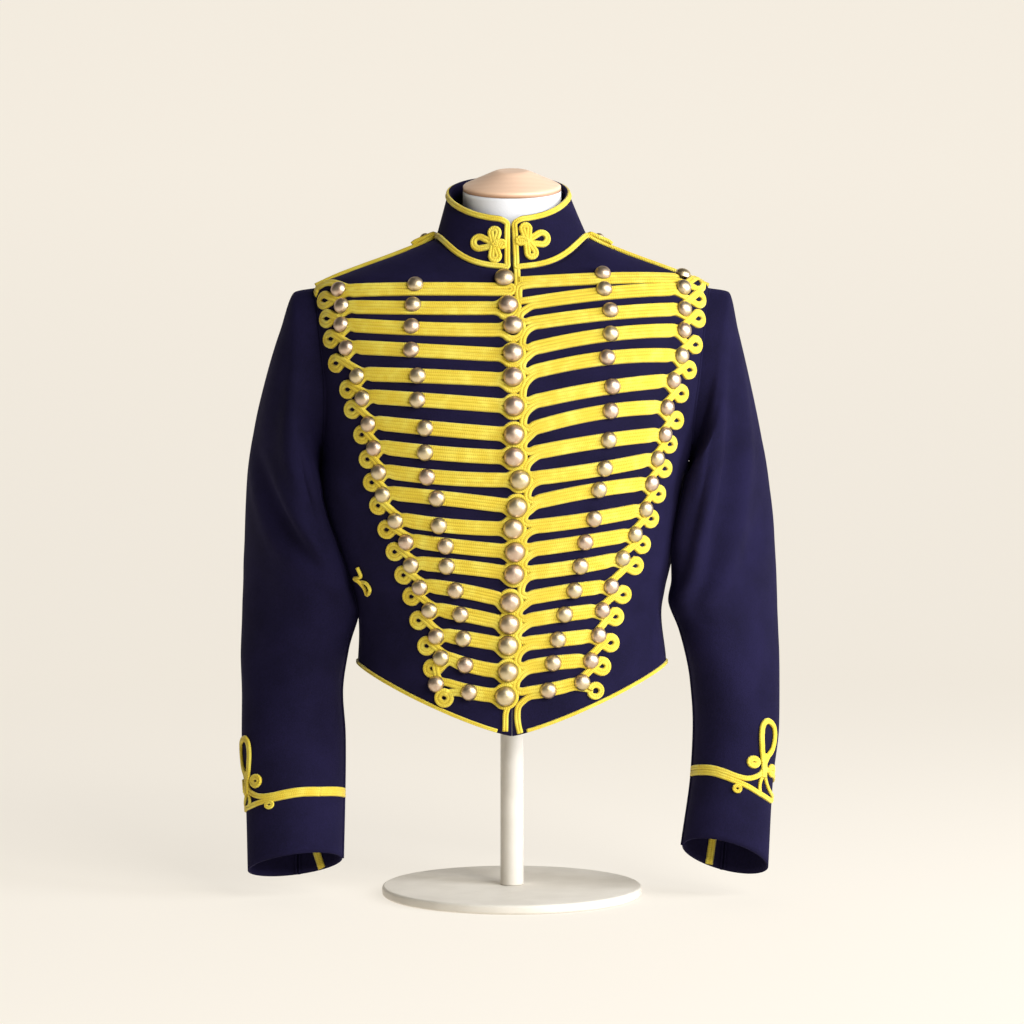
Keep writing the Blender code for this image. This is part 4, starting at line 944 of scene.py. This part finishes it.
def row_places(number, side):
    """Places of a row's middle: by the centre button, and by the two buttons on one side."""
    buttons = [FROG[number - 1].centre, frog_place(number, side, "mid"), frog_place(number, side, "end")]
    sag = ROW_SAG[side].get(number, USUAL_SAG[side])
    return [(x, z - down) for (x, z), down in zip(buttons, sag)]


def row_line(number, side):
    """Height of a row's middle by x, on the parabola through its three places."""
    return np.poly1d(np.polyfit(*zip(*row_places(number, side)), 2))


def strand_places(number, side, offset, from_x, to_x):
    """A straight run of one of a row's strands."""
    x = np.linspace(from_x, to_x, max(STRAND_LEAST, round(abs(to_x - from_x) / STRAND_STEP)))
    return level_places(x, row_line(number, side)(x) + offset)


def curl_places(number, side):
    """A curl that starts at its foot, goes out and round, and crosses over its own start."""
    degrees = np.linspace(-CURL_NECK, CURL_NECK, ARC_PLACES)
    lift = np.interp(degrees, CURL_CROSSES, (0, CURL_LIFT))
    from_right = degrees if side == RIGHT else 180 - degrees
    return arc_places(frog_place(number, side, "curl"), CURL_RADIUS, from_right, lift)


def last_curl(side):
    """A whole turn round a front's last curl, which ends over its own start."""
    degrees = CLOSE_FROM[side] + side * np.linspace(0, 360, CIRCLE_PLACES)
    lift = np.linspace(0, CURL_LIFT, CIRCLE_PLACES)
    return arc_places(frog_place(len(FROG), side, "curl"), CURL_RADIUS, degrees, lift)


def ring_places(number):
    """Round a centre button; the top row only turns back below its button."""
    x, z = row_places(number, LEFT)[0]
    if number == 1:
        return arc_places((x + TOP_RUN_ON, z), STRAND, np.linspace(90, -90, ARC_PLACES))
    return arc_places((x, z), RING_RADIUS, np.linspace(RING_OPEN, -RING_OPEN, ARC_PLACES))


def left_frogging():
    """The left front's braid as one run: in along a row, round its button, out again, and through a curl."""
    places = [level_places(*np.transpose(TIP_BEND))]
    for number, row in enumerate(FROG, 1):
        clear, join = (TOP_CLEAR, TOP_JOIN) if number == 1 else (RING_CLEAR, JOIN_ROW)
        leave = LEAVE_LAST if number == len(FROG) else LEAVE_ROW
        outer, inner = row.left_end[0], row.centre[0] - clear
        places.append(strand_places(number, LEFT, STRAND, outer + join, inner))
        places.append(ring_places(number))
        places.append(strand_places(number, LEFT, -STRAND, inner, outer + leave))
        places.append(last_curl(LEFT) if number == len(FROG) else curl_places(number, LEFT))
    return np.concatenate(places)


def right_slot(number):
    """The right front's braid round the gap between two rows: closed, with a curl at its outer end."""
    row, after = FROG[number - 1], FROG[number]
    turn_x = TOP_TURN if number == 1 else (row.centre[0] + after.centre[0]) / 2 + TURN_BACK
    high, low = row_line(number, RIGHT)(turn_x), row_line(number + 1, RIGHT)(turn_x)
    out, up, share = np.transpose(TOP_BEND if number == 1 else TURN_BEND)
    turn = level_places(turn_x + out, low + up + share * (high - low))
    straight_x = turn_x + STRAIGHT_FROM
    lower = strand_places(number, RIGHT, -STRAND, straight_x, row.right_end[0] - LEAVE_ROW)
    upper = strand_places(number + 1, RIGHT, STRAND, after.right_end[0] - JOIN_ROW, straight_x)
    return np.concatenate([turn, lower, curl_places(number, RIGHT), upper])


yellow_braid = Finish("yellow_braid", Sheen_Weight=0.25, Sheen_Roughness=0.4, Specular_IOR_Level=0.35)
across, along = yellow_braid.laid()
off_middle = across - 0.5
from_groove = off_middle.math("ABSOLUTE", off_middle)
slant = along * THREAD_TURN + from_groove * THREAD_SLANT
thread = slant.math("SINE", slant) * 0.5 + 0.5
# Painted shade: the colour darkens along the groove in the middle of the braid
groove_shade = from_groove.spread(0.0, 0.07) * 0.6 + 0.4
# Random noise for wear of the braid, which also places the painted highlight
wear_and_highlight = yellow_braid.noise(scale=60, detail=3)
# Partly painted shade: darker yellow between the threads' wraps, mixed with random darker patches
thread_shaded = (thread * 0.6 + wear_and_highlight * 0.4).spread(0.25, 0.8).mixed(YELLOW_THREAD_SHADE, YELLOW)
# Painted highlight: pale yellow in random patches
lit = wear_and_highlight.spread(0.40, 0.8).mixed(thread_shaded, YELLOW_PALE_HIGHLIGHT)
yellow_braid.feed("Base Color", groove_shade.mixed(YELLOW_GROOVE_SHADE, lit))
yellow_braid.feed("Roughness", thread * 0.15 + 0.55)
fuzz = yellow_braid.noise(scale=1600, detail=3)
yellow_braid.bump(thread * 0.7 + fuzz * 0.3, distance=0.0006, strength=0.7)

braid = soutache()
left_runs = [front_braid(left_frogging(), braid)]
left_runs.append(front_braid(level_places(*np.transpose(LEFT_FOOT)), soutache(*LEFT_FOOT_BRAID)))
add_piece("frogging_left_braid", left_runs, yellow_braid, ["frogging_left"])

right_runs = [front_braid(right_slot(number), braid, closed=True) for number in range(1, len(FROG))]
right_top = level_places(*np.transpose(RIGHT_TOP), -RIGHT_TOP_SINK)
right_runs.append(front_braid(right_top, soutache(*RIGHT_TOP_BRAID)))
top_end = FROG[0].right_end[0] + TOP_STRAND_PAST
right_runs.append(front_braid(strand_places(1, RIGHT, TOP_STRAND, TOP_STRAND_FROM, top_end), braid))
foot_end = FROG[-1].right_end[0] - LEAVE_ROW
foot_run = [
    level_places(*np.transpose(RIGHT_FOOT)),
    strand_places(len(FROG), RIGHT, -STRAND, FOOT_STRAND_FROM, foot_end),
    last_curl(RIGHT),
]
right_runs.append(front_braid(np.concatenate(foot_run), soutache(*RIGHT_FOOT_BRAID)))
add_piece("frogging_right_braid", right_runs, yellow_braid, ["frogging_right"])

# Buttons. Domed brass shells with a thin rolled rim, dulled to a pinkish gold; eighteen larger ones down the
# centre, and two columns of smaller ones sewn on each front's rows.
Button = namedtuple("Button", "radius high")
CENTRE_BUTTON, SMALL_BUTTON = Button(10.4, 8.2), Button(8.7, 7.2)
CENTRE_LIFT, SMALL_LIFT = 3.6, 2.0  # of a button's back above the cloth
BUTTON_STEPS, DOME_POINTS = 36, 10
DOME_SHARE, DOME_LOW = 0.94, 8  # the dome's radius in a button's radii, and degrees where it meets the rim
RIM_HIGH = 1.3
RIM_PROFILE = ((0.96, 1.05), (1, 0.75), (1, 0.3), (0.95, 0), (0, 0))  # in radii and in heights of the rim
BRASS_GOLD = (0.72, 0.59, 0.34, 1)
BRASS_PINK = (0.67, 0.49, 0.36, 1)
BRASS_WORN = (0.84, 0.73, 0.55, 1)
# Painted shade towards a button's edge and rim
BRASS_EDGE_SHADE = (0.23, 0.155, 0.080, 1)


def button_grid(button, point, normal):
    """Dome on a rolled rim, turned round a surface's normal."""
    radius, high = button
    bend = np.radians(np.linspace(90, DOME_LOW, DOME_POINTS))
    rise = RIM_HIGH + (high - RIM_HIGH) * np.sin(bend)
    dome = np.stack([DOME_SHARE * radius * np.cos(bend), rise], axis=-1)
    rim = np.array(RIM_PROFILE) * (radius, RIM_HIGH)
    points, faces, uv = lathe(np.concatenate([dome, rim]), BUTTON_STEPS)
    side = unit(np.cross(normal, (0.0, 0.0, 1.0)))
    up = np.cross(side, normal)
    return point + points[:, :1] * side + points[:, 1:2] * up + points[:, 2:] * normal, faces, uv


def front_button(button, x, z, lift):
    """A button on the fronts, at a place as seen from the front."""
    point, normal = with_normals(front_surface, np.array(float(x)), np.array(float(z)))
    return button_grid(button, point + lift * normal, normal)


brass = Finish("brass", Metallic=1.0)
_, from_top = brass.laid()
patina = brass.noise(scale=260, detail=4, roughness=0.6)
alloy = brass.noise(scale=25, detail=0).spread(0.35, 0.65).mixed(BRASS_GOLD, BRASS_PINK)
rubbed = (patina.spread(0.4, 0.75) * 0.6).mixed(alloy, BRASS_WORN)
# Painted shade: the dome darkens towards its lower edge and its rim
brass.feed("Base Color", from_top.spread(0.60, 0.84).mixed(rubbed, BRASS_EDGE_SHADE))
brass.feed("Roughness", patina * 0.2 + 0.34)
brass.bump(brass.noise(scale=900, detail=3), distance=0.0001)
for number, row in enumerate(FROG, 1):
    name = f"button_centre_{number:02d}"
    dome = front_button(CENTRE_BUTTON, *row.centre, CENTRE_LIFT)
    add_piece(name + "_brass", [dome], brass, [name])
for side in (LEFT, RIGHT):
    word = SIDE_NAMES[side]
    places = [getattr(row, f"{word}_{part}") for row in FROG for part in ("mid", "end")]
    domes = [front_button(SMALL_BUTTON, *place, SMALL_LIFT) for place in places]
    add_piece(f"buttons_{word}_brass", domes, brass)

# Collar trim. The braid runs round all four edges of the collar, and on each side of the front it ends in a
# knot of three loops and a fourth small one that ties it to the edge.
COLLAR_LEVELS = (0.075, 0.94)  # of the braid along the seam and along the top, as shares of the height
COLLAR_BRAID, COLLAR_STEP = (6.4, 2.2), 1.6
AROUND_PLACES, UPRIGHT_PLACES = 90, 6  # along the seam or the top, and up a front edge between them
EDGE_OVER = 0.9  # how far the braid stands over the front edges
FINE_STEP = 0.02  # in degrees, and in levels or rings, to find a normal
KNOT_SEARCH = 10  # steps in which a place on the collar is found
KNOT_BRAID, KNOT_STEP = (7.3, 2.4), 1.2
KNOT_RISE, ROOT_RISE = 0.4, 0.5  # of each loop over the one before it, and of a loop's root
ROOT_OPEN = 0.95  # largest share of its distance from the root that a loop's radius counts as
Loop = namedtuple("Loop", "x z radius")
COLLAR_KNOT = {
    LEFT: (Loop(-34.3, 695.6, 6.3), Loop(-18.4, 706, 3.9), Loop(-17.8, 680.6, 3.8), Loop(-11, 693.5, 2.2)),
    RIGHT: (Loop(31, 700.1, 6.3), Loop(14.2, 710.4, 3.6), Loop(20.5, 684.2, 4.1), Loop(8.5, 697, 2.2)),
}
KNOT_ROOT = {LEFT: (-19, 693), RIGHT: (16, 696)}


def collar_at(x, z):
    """Degrees and level of places on the front of the collar as seen from the front, found step by step."""
    angle, level = np.zeros(np.shape(x)), np.full(np.shape(x), 0.5)
    for _ in range(KNOT_SEARCH):
        width = NECK_SEAM.half_width + level * (COLLAR_TOP.half_width - NECK_SEAM.half_width)
        angle = np.arcsin(np.clip((x - level * collar_lean(angle)) / width, -1, 1))
        low, high = collar_span(angle)
        level = (z - low) / (high - low)
    return np.degrees(angle), level


def teardrop(root, loop, lift):
    """Closed places of a loop: from its root, round a circle, and back."""
    to_middle = np.array(loop[:2], float) - root
    distance = np.linalg.norm(to_middle)
    open_half = np.degrees(np.arccos(min(ROOT_OPEN, loop.radius / distance)))
    start = np.degrees(np.arctan2(to_middle[1], to_middle[0])) + 180
    degrees = start + np.linspace(open_half, 360 - open_half, CIRCLE_PLACES)
    return np.concatenate([[(*root, lift + ROOT_RISE)], arc_places(loop[:2], loop.radius, degrees, lift)])


def collar_loop(places):
    """The knot's braid, closed through places on the front of the collar."""
    path = smooth_path(places, KNOT_STEP, closed=True)
    points, normals = with_normals(collar_surface, *collar_at(path[:, 0], path[:, 1]), FINE_STEP)
    return laid_on(points, normals, path[:, 2], soutache(*KNOT_BRAID), closed=True)


def collar_edging():
    """Round the collar along its seam, up one front edge, back along its top, and down the other edge."""
    start = collar_start(COLLAR_BRAID[0] / 2 - EDGE_OVER)
    low, high = COLLAR_LEVELS
    around = np.linspace(start, 360 - start, AROUND_PLACES)
    upright = np.linspace(low, high, UPRIGHT_PLACES + 2)[1:-1]
    far, near = np.full(UPRIGHT_PLACES, 360 - start), np.full(UPRIGHT_PLACES, start)
    degrees = np.concatenate([around, far, around[::-1], near])
    foot, top = np.full(AROUND_PLACES, low), np.full(AROUND_PLACES, high)
    level = np.concatenate([foot, upright, top, upright[::-1]])
    points, normals = with_normals(collar_surface, degrees, level, FINE_STEP)
    path = smooth_path(np.concatenate([points, normals], axis=-1), COLLAR_STEP, closed=True)
    return swept(path, soutache(*COLLAR_BRAID), closed=True)


add_piece("collar_edge_braid", [collar_edging()], yellow_braid, ["collar_braid"])
for side in (LEFT, RIGHT):
    root = np.array(KNOT_ROOT[side], float)
    loops = [
        collar_loop(teardrop(root, loop, KNOT_RISE * number)) for number, loop in enumerate(COLLAR_KNOT[side])
    ]
    name = "collar_knot_" + SIDE_NAMES[side]
    add_piece(name + "_braid", loops, yellow_braid, [name])

# Shoulder trim. A round cord is sewn along each shoulder seam from the armhole to the collar, where it turns
# back over itself in a short loop. A small button stands behind the loop.
CORD_RADIUS, CORD_SIDES = 2.6, 12
CORD_LIFT, TURN_LIFT = 2.4, 7.0  # of the cord's middle above the seam, and of the strand that turns back
SHOULDER_CORD_HIGH = np.array([655, 665, 675, 685, 694, 700, 705, 707, 706, 702, 698, 696])
SHOULDER_CORD_LIFT = np.array([0, 0, 0, 0, 0, 0, 0.2, 0.6, 1, 1, 1, 0.7])  # from the first lift to the second
SHOULDER_BUTTON = Button(5.5, 5.0)
SHOULDER_BUTTON_AT, SHOULDER_BUTTON_LIFT, SHOULDER_BUTTON_BACK = 702, 7.2, 4
SLOPE_STEP = 0.1  # in height, to find the shoulder's slope


def round_cord(radius):
    """Section of a cord, across and up from its middle."""
    turn = np.linspace(np.pi, -np.pi, CORD_SIDES, endpoint=False)
    return radius * np.stack([np.cos(turn), np.sin(turn)], axis=-1)


for side in (LEFT, RIGHT):
    heights = np.append(SHOULDER_CORD_HIGH, SHOULDER_BUTTON_AT)
    ridge, above = (body_point(np.pi / 2, heights + step, side, FRONT) for step in (0, SLOPE_STEP))
    up = unit(np.cross(above - ridge, (0, -side, 0)))
    cord = ridge[:-1] + (CORD_LIFT + (TURN_LIFT - CORD_LIFT) * SHOULDER_CORD_LIFT)[:, None] * up[:-1]
    forward = np.broadcast_to((0.0, -1.0, 0.0), cord.shape)
    path = smooth_path(np.concatenate([cord, forward], axis=-1), BRAID_STEP)
    name = "shoulder_cord_" + SIDE_NAMES[side]
    add_piece(name + "_braid", [swept(path, round_cord(CORD_RADIUS))], yellow_braid, [name])
    foot = ridge[-1] + SHOULDER_BUTTON_LIFT * up[-1] + (0, SHOULDER_BUTTON_BACK, 0)
    name = "shoulder_button_" + SIDE_NAMES[side]
    add_piece(name + "_brass", [button_grid(SHOULDER_BUTTON, foot, up[-1])], brass, [name])

# Hem cords and waist knot. Thin cord is sewn along each front's hem, and a short end of cord is knotted on
# the left side at the waist.
HEM_BRAID = (4.0, 1.9)
HEM_FROM, HEM_PLACES = 0.04, 60  # where it starts, as a share of the way to the side seam
WAIST_KNOT_AT = (-157, 339)
WAIST_KNOT_RADIUS, WAIST_KNOT_STEP = 2.0, 1.2
# Places from the knot's middle, and how far its cord stands off there to pass over itself
WAIST_KNOT = (
    (-4.4, 15, 0), (-0.4, 5.7, 0.6), (-7.1, 3.8, 1.2), (-3, 0, 0), (4.8, -1.5, 0),
    (9.5, -8.3, 0.5), (5.9, -13.9, 0), (3.3, -6.2, 0.8), (-3.5, 3.2, 2.4),
)
for side in (LEFT, RIGHT):
    share = np.linspace(HEM_FROM, 1, HEM_PLACES)
    power = 2 / body_size(HEM_SIDE, "square")
    hem = hem_height(np.sin(share * np.pi / 2) ** power, FRONT) + HEM_BRAID[0] / 2

    def front(turn, height):
        return body_point(np.radians(turn), height, side, FRONT)

    points, normals = with_normals(front, share * 90, hem)
    path = smooth_path(np.concatenate([points, side * normals], axis=-1), BRAID_STEP)
    name = "hem_cord_" + SIDE_NAMES[side]
    add_piece(name + "_braid", [swept(path, soutache(*HEM_BRAID))], yellow_braid, [name])
knot = np.array(WAIST_KNOT) + (*WAIST_KNOT_AT, 0)
knot_section = round_cord(WAIST_KNOT_RADIUS) + (0, WAIST_KNOT_RADIUS)
waist_cord = front_braid(knot, knot_section, step=WAIST_KNOT_STEP)
add_piece("waist_knot_cord", [waist_cord], yellow_braid, ["waist_knot"])

# Cuffs. Two braids side by side ring each sleeve above its end. By the outer edge the upper one rises into a
# knot of loops, and the lower one runs on below it. A short tape is sewn inside the cuff.
CUFF_RING, CUFF_BAND_RING = 13, 12
CUFF_BRAID, LOOP_BRAID, THIN_BRAID, STEM_BRAID = (5.9, 2.2), (6.8, 2.3), (4.2, 1.9), (8.5, 2.4)
CUFF_STEP = 1.4
SPAN_DEGREE, SPAN_RING = 0.75, 75  # millimetres of cloth to a degree round a cuff, and to a ring along it
CUFF_SEARCH, RING_STEP = 12, 0.05  # steps in which a place on a cuff is found, and their probe in rings
CUFF_TURN = 23  # degrees by which the left sleeve is turned further out than the right one
CUFF_SQUEEZE, CUFF_TILT = 0.80, 0.09  # the left sleeve's rings stand further apart, and its knot sits higher
BEHIND_PLACES, BEHIND_EASE = 20, 70  # of the band round the back, and degrees in which it comes to its level
# The right cuff's braid, as x and z seen from the front: from the inner edge, or from the knot's middle
CUFF_UPPER = (
    (200, 141), (212, 141.5), (224, 138.5), (235, 134.5), (246, 131.5), (255, 132), (262.5, 135), (266.5, 140)
)
CUFF_LOWER = (
    (200, 135.8), (212, 136.3), (224, 133), (234, 129.3), (248, 123.3), (261, 115), (274, 105.5)
)
TALL_LOOP = (
    (266, 146), (264.5, 155), (264, 162), (264, 175), (266, 185.5),
    (271.5, 189.5), (278, 183), (279, 172), (276, 160), (270.5, 153),
)
KNOT_STEM = ((266, 156), (266, 148), (266, 140), (265.5, 131))
KNOT_TAILS = (
    ((265.5, 134), (262, 127.5), (261, 121.5), (261.5, 116)),
    ((266.5, 134), (269, 124.5), (272, 117), (276, 109)),
)
CuffLoop = namedtuple("CuffLoop", "x z radius braid")
CUFF_LOOPS = (
    CuffLoop(255, 148, 4.9, LOOP_BRAID),
    CuffLoop(275, 137, 4.8, LOOP_BRAID),
    CuffLoop(237, 121.2, 3.2, THIN_BRAID),
)
KNOT_LIFT, TAIL_LIFT, CUFF_LOOP_LIFT = 0.9, 0.5, 0.3  # the last is also that of each loop over the one before
LOOP_DEGREES = np.arange(0, 360, 30)
TAPE_WIDTH, TAPE_LENGTH, TAPE_PLACES = 9.0, 50, 10
TAPE_INSET, TAPE_CLEAR = 0.01, 0.8  # from the cuff's end in rings, and from the inside of its cloth
# Section of the tape: across in widths, and up
TAPE_SECTION = ((-0.5, 0), (-0.25, 0.35), (0.25, 0.35), (0.5, 0), (0.3, -0.4), (-0.3, -0.4))
# Degrees of the tape round the cuff's end, and by which it turns over its length
TAPE_ANGLE, TAPE_LEAN = {LEFT: 237, RIGHT: 250}, {LEFT: 22, RIGHT: 5}


def on_sleeve(side, degrees, ring):
    """Points of a sleeve and its outward normals there."""

    def surface(turn, along):
        return sleeve_point(side, turn, along)

    points, normals = with_normals(surface, np.asarray(degrees, float), np.asarray(ring, float), FINE_STEP)
    return points, side * normals


def cuff_at(side, places):
    """Degrees and rings of places on a cuff, from their x and z on the right one, found step by step."""
    x, z = np.transpose(places)
    ring = np.full(x.shape, float(CUFF_BAND_RING))
    for _ in range(CUFF_SEARCH):
        outer, inner = (sleeve_point(RIGHT, edge, ring)[:, 0] for edge in (0, 180))
        degrees = np.degrees(np.arccos(np.clip((2 * x - outer - inner) / (outer - inner), -1, 1)))
        near = (ring - RING_STEP, ring, ring + RING_STEP)
        high, here, low = (sleeve_point(RIGHT, degrees, at)[:, 2] for at in near)
        ring = ring + 2 * RING_STEP * (here - z) / (high - low)
    if side == LEFT:
        higher = CUFF_TILT * (x - CUFF_UPPER[0][0]) / (CUFF_UPPER[-1][0] - CUFF_UPPER[0][0])
        return degrees - CUFF_TURN, CUFF_BAND_RING + CUFF_SQUEEZE * (ring - CUFF_BAND_RING) - higher
    return degrees, ring


def cuff_run(side, degrees, ring, lift, braid, closed=False):
    """Braid through places on a cuff; the lift is how far it stands off where it crosses another."""
    laid = np.stack(np.broadcast_arrays(degrees * SPAN_DEGREE, ring * SPAN_RING, lift), axis=-1)
    path = smooth_path(laid, CUFF_STEP, closed)
    points, normals = on_sleeve(side, path[:, 0] / SPAN_DEGREE, path[:, 1] / SPAN_RING)
    return laid_on(points, normals, path[:, 2], soutache(*braid), closed)


def cuff_band(side, places):
    """One strand of the band: through its places on the front, then round the back to its start."""
    degrees, ring = cuff_at(side, places)
    end = degrees[0] - 360
    behind = np.linspace(degrees[-1], end, BEHIND_PLACES)[1:]
    level = eased(behind, (end, degrees[-1] - BEHIND_EASE, degrees[-1]), (ring[0], ring[0], ring[-1]))
    return cuff_run(side, np.append(degrees, behind), np.append(ring, level), 0, CUFF_BRAID)


def cuff_loop(side, loop, lift):
    """A small closed loop, round a place on a cuff."""
    degrees, ring = cuff_at(side, [loop[:2]])
    turn = np.radians(LOOP_DEGREES)
    round_it = degrees + loop.radius * np.cos(turn) / SPAN_DEGREE
    along_it = ring + loop.radius * np.sin(turn) / SPAN_RING
    return cuff_run(side, round_it, along_it, lift, loop.braid, closed=True)


def cuff_tape(side):
    """A flat tape on the inside of a cuff, from its end upwards."""
    ring = CUFF_RING - TAPE_INSET - np.linspace(0, TAPE_LENGTH / SPAN_RING, TAPE_PLACES)
    degrees = TAPE_ANGLE[side] + np.linspace(0, TAPE_LEAN[side], TAPE_PLACES)
    points, normals = on_sleeve(side, degrees, ring)
    inside = points - (CLOTH + TAPE_CLEAR) * normals
    return swept(np.concatenate([inside, -normals], axis=-1), np.array(TAPE_SECTION) * (TAPE_WIDTH, 1))


for side in (LEFT, RIGHT):
    runs = [cuff_band(side, places) for places in (CUFF_UPPER, CUFF_LOWER)]
    runs.append(cuff_run(side, *cuff_at(side, TALL_LOOP), KNOT_LIFT, LOOP_BRAID, closed=True))
    runs.append(cuff_run(side, *cuff_at(side, KNOT_STEM), KNOT_LIFT, STEM_BRAID))
    runs += [cuff_run(side, *cuff_at(side, places), TAIL_LIFT, THIN_BRAID) for places in KNOT_TAILS]
    runs += [cuff_loop(side, loop, CUFF_LOOP_LIFT * number) for number, loop in enumerate(CUFF_LOOPS, 1)]
    name = "cuff_braid_" + SIDE_NAMES[side]
    add_piece(name + "_soutache", runs, yellow_braid, [name])
    name = "cuff_tape_" + SIDE_NAMES[side]
    add_piece(name + "_cloth", [cuff_tape(side)], yellow_braid, [name])

# Studio. A cream sweep that glows a little, so that it stays even, a wide soft light in front, a cool light
# that grazes the right side, and a level camera. Its sizes are in metres.
SWEEP = (0.905, 0.847, 0.753, 1)
SWEEP_GLOW, SWEEP_SHARE = 0.82, 0.29  # of its own light, and of its paint
SWEEP_FRONT, SWEEP_BACK, SWEEP_BEND, SWEEP_HIGH, SWEEP_HALF = -6.0, 3.5, 1.5, 6.0, 9.0
SWEEP_POINTS = 17  # round its bend
CAMERA_AT, CAMERA_LENS = (0, -2.6, 0.412), 84.63
Lamp = namedtuple("Lamp", "name at aim size power colour")
LAMPS = (
    Lamp("front", (2.1, -3.1, 2.3), (0, 0, 0.42), 2.0, 142, (1.0, 0.99, 0.97)),
    Lamp("key", (2.6, -1.1, 1.1), (0, 0, 0.42), 1.2, 88, (0.88, 0.92, 1.0)),
)
WORLD = (1.0, 0.98, 0.95, 1)
WORLD_STRENGTH = 0.05

bend = np.radians(np.linspace(0, 90, SWEEP_POINTS))
profile = np.concatenate([
    [(SWEEP_FRONT, 0)],
    np.stack([SWEEP_BACK + SWEEP_BEND * np.sin(bend), SWEEP_BEND * (1 - np.cos(bend))], axis=-1),
    [(SWEEP_BACK + SWEEP_BEND, SWEEP_HIGH)],
])
sweep_mesh = bpy.data.meshes.new("sweep")
count = len(profile)
sweep_mesh.from_pydata(
    [(x, y, z) for x in (-SWEEP_HALF, SWEEP_HALF) for y, z in profile],
    [],
    [(i, i + count, i + count + 1, i + 1) for i in range(count - 1)],
)
sweep_mesh.shade_smooth()
sweep_paint = Finish("sweep", Roughness=0.95, Specular_IOR_Level=0.0, Emission_Strength=SWEEP_GLOW)
sweep_paint.shader.inputs["Emission Color"].default_value = SWEEP
sweep_paint.shader.inputs["Base Color"].default_value = (*(SWEEP_SHARE * tone for tone in SWEEP[:3]), 1)
sweep_mesh.materials.append(sweep_paint.material)
sweep = bpy.data.objects.new("sweep", sweep_mesh)
bpy.context.scene.collection.objects.link(sweep)

for lamp in LAMPS:
    light = bpy.data.lights.new(lamp.name, "AREA")
    light.energy, light.size, light.color = lamp.power, lamp.size, lamp.colour
    placed = bpy.data.objects.new(lamp.name, light)
    placed.location = lamp.at
    aim = np.subtract(lamp.aim, lamp.at)
    placed.rotation_euler = (np.arctan2(np.hypot(aim[0], aim[1]), -aim[2]), 0, np.arctan2(-aim[0], aim[1]))
    bpy.context.scene.collection.objects.link(placed)

scene = bpy.context.scene
scene.world = bpy.data.worlds.new("studio")
scene.world.use_nodes = True
background = scene.world.node_tree.nodes["Background"]
background.inputs["Color"].default_value = WORLD
background.inputs["Strength"].default_value = WORLD_STRENGTH
scene.view_settings.view_transform = "Standard"
camera = bpy.data.objects.new("camera", bpy.data.cameras.new("camera"))
camera.data.lens = CAMERA_LENS
camera.location = CAMERA_AT
camera.rotation_euler = (np.pi / 2, 0, 0)
scene.collection.objects.link(camera)
scene.camera = camera
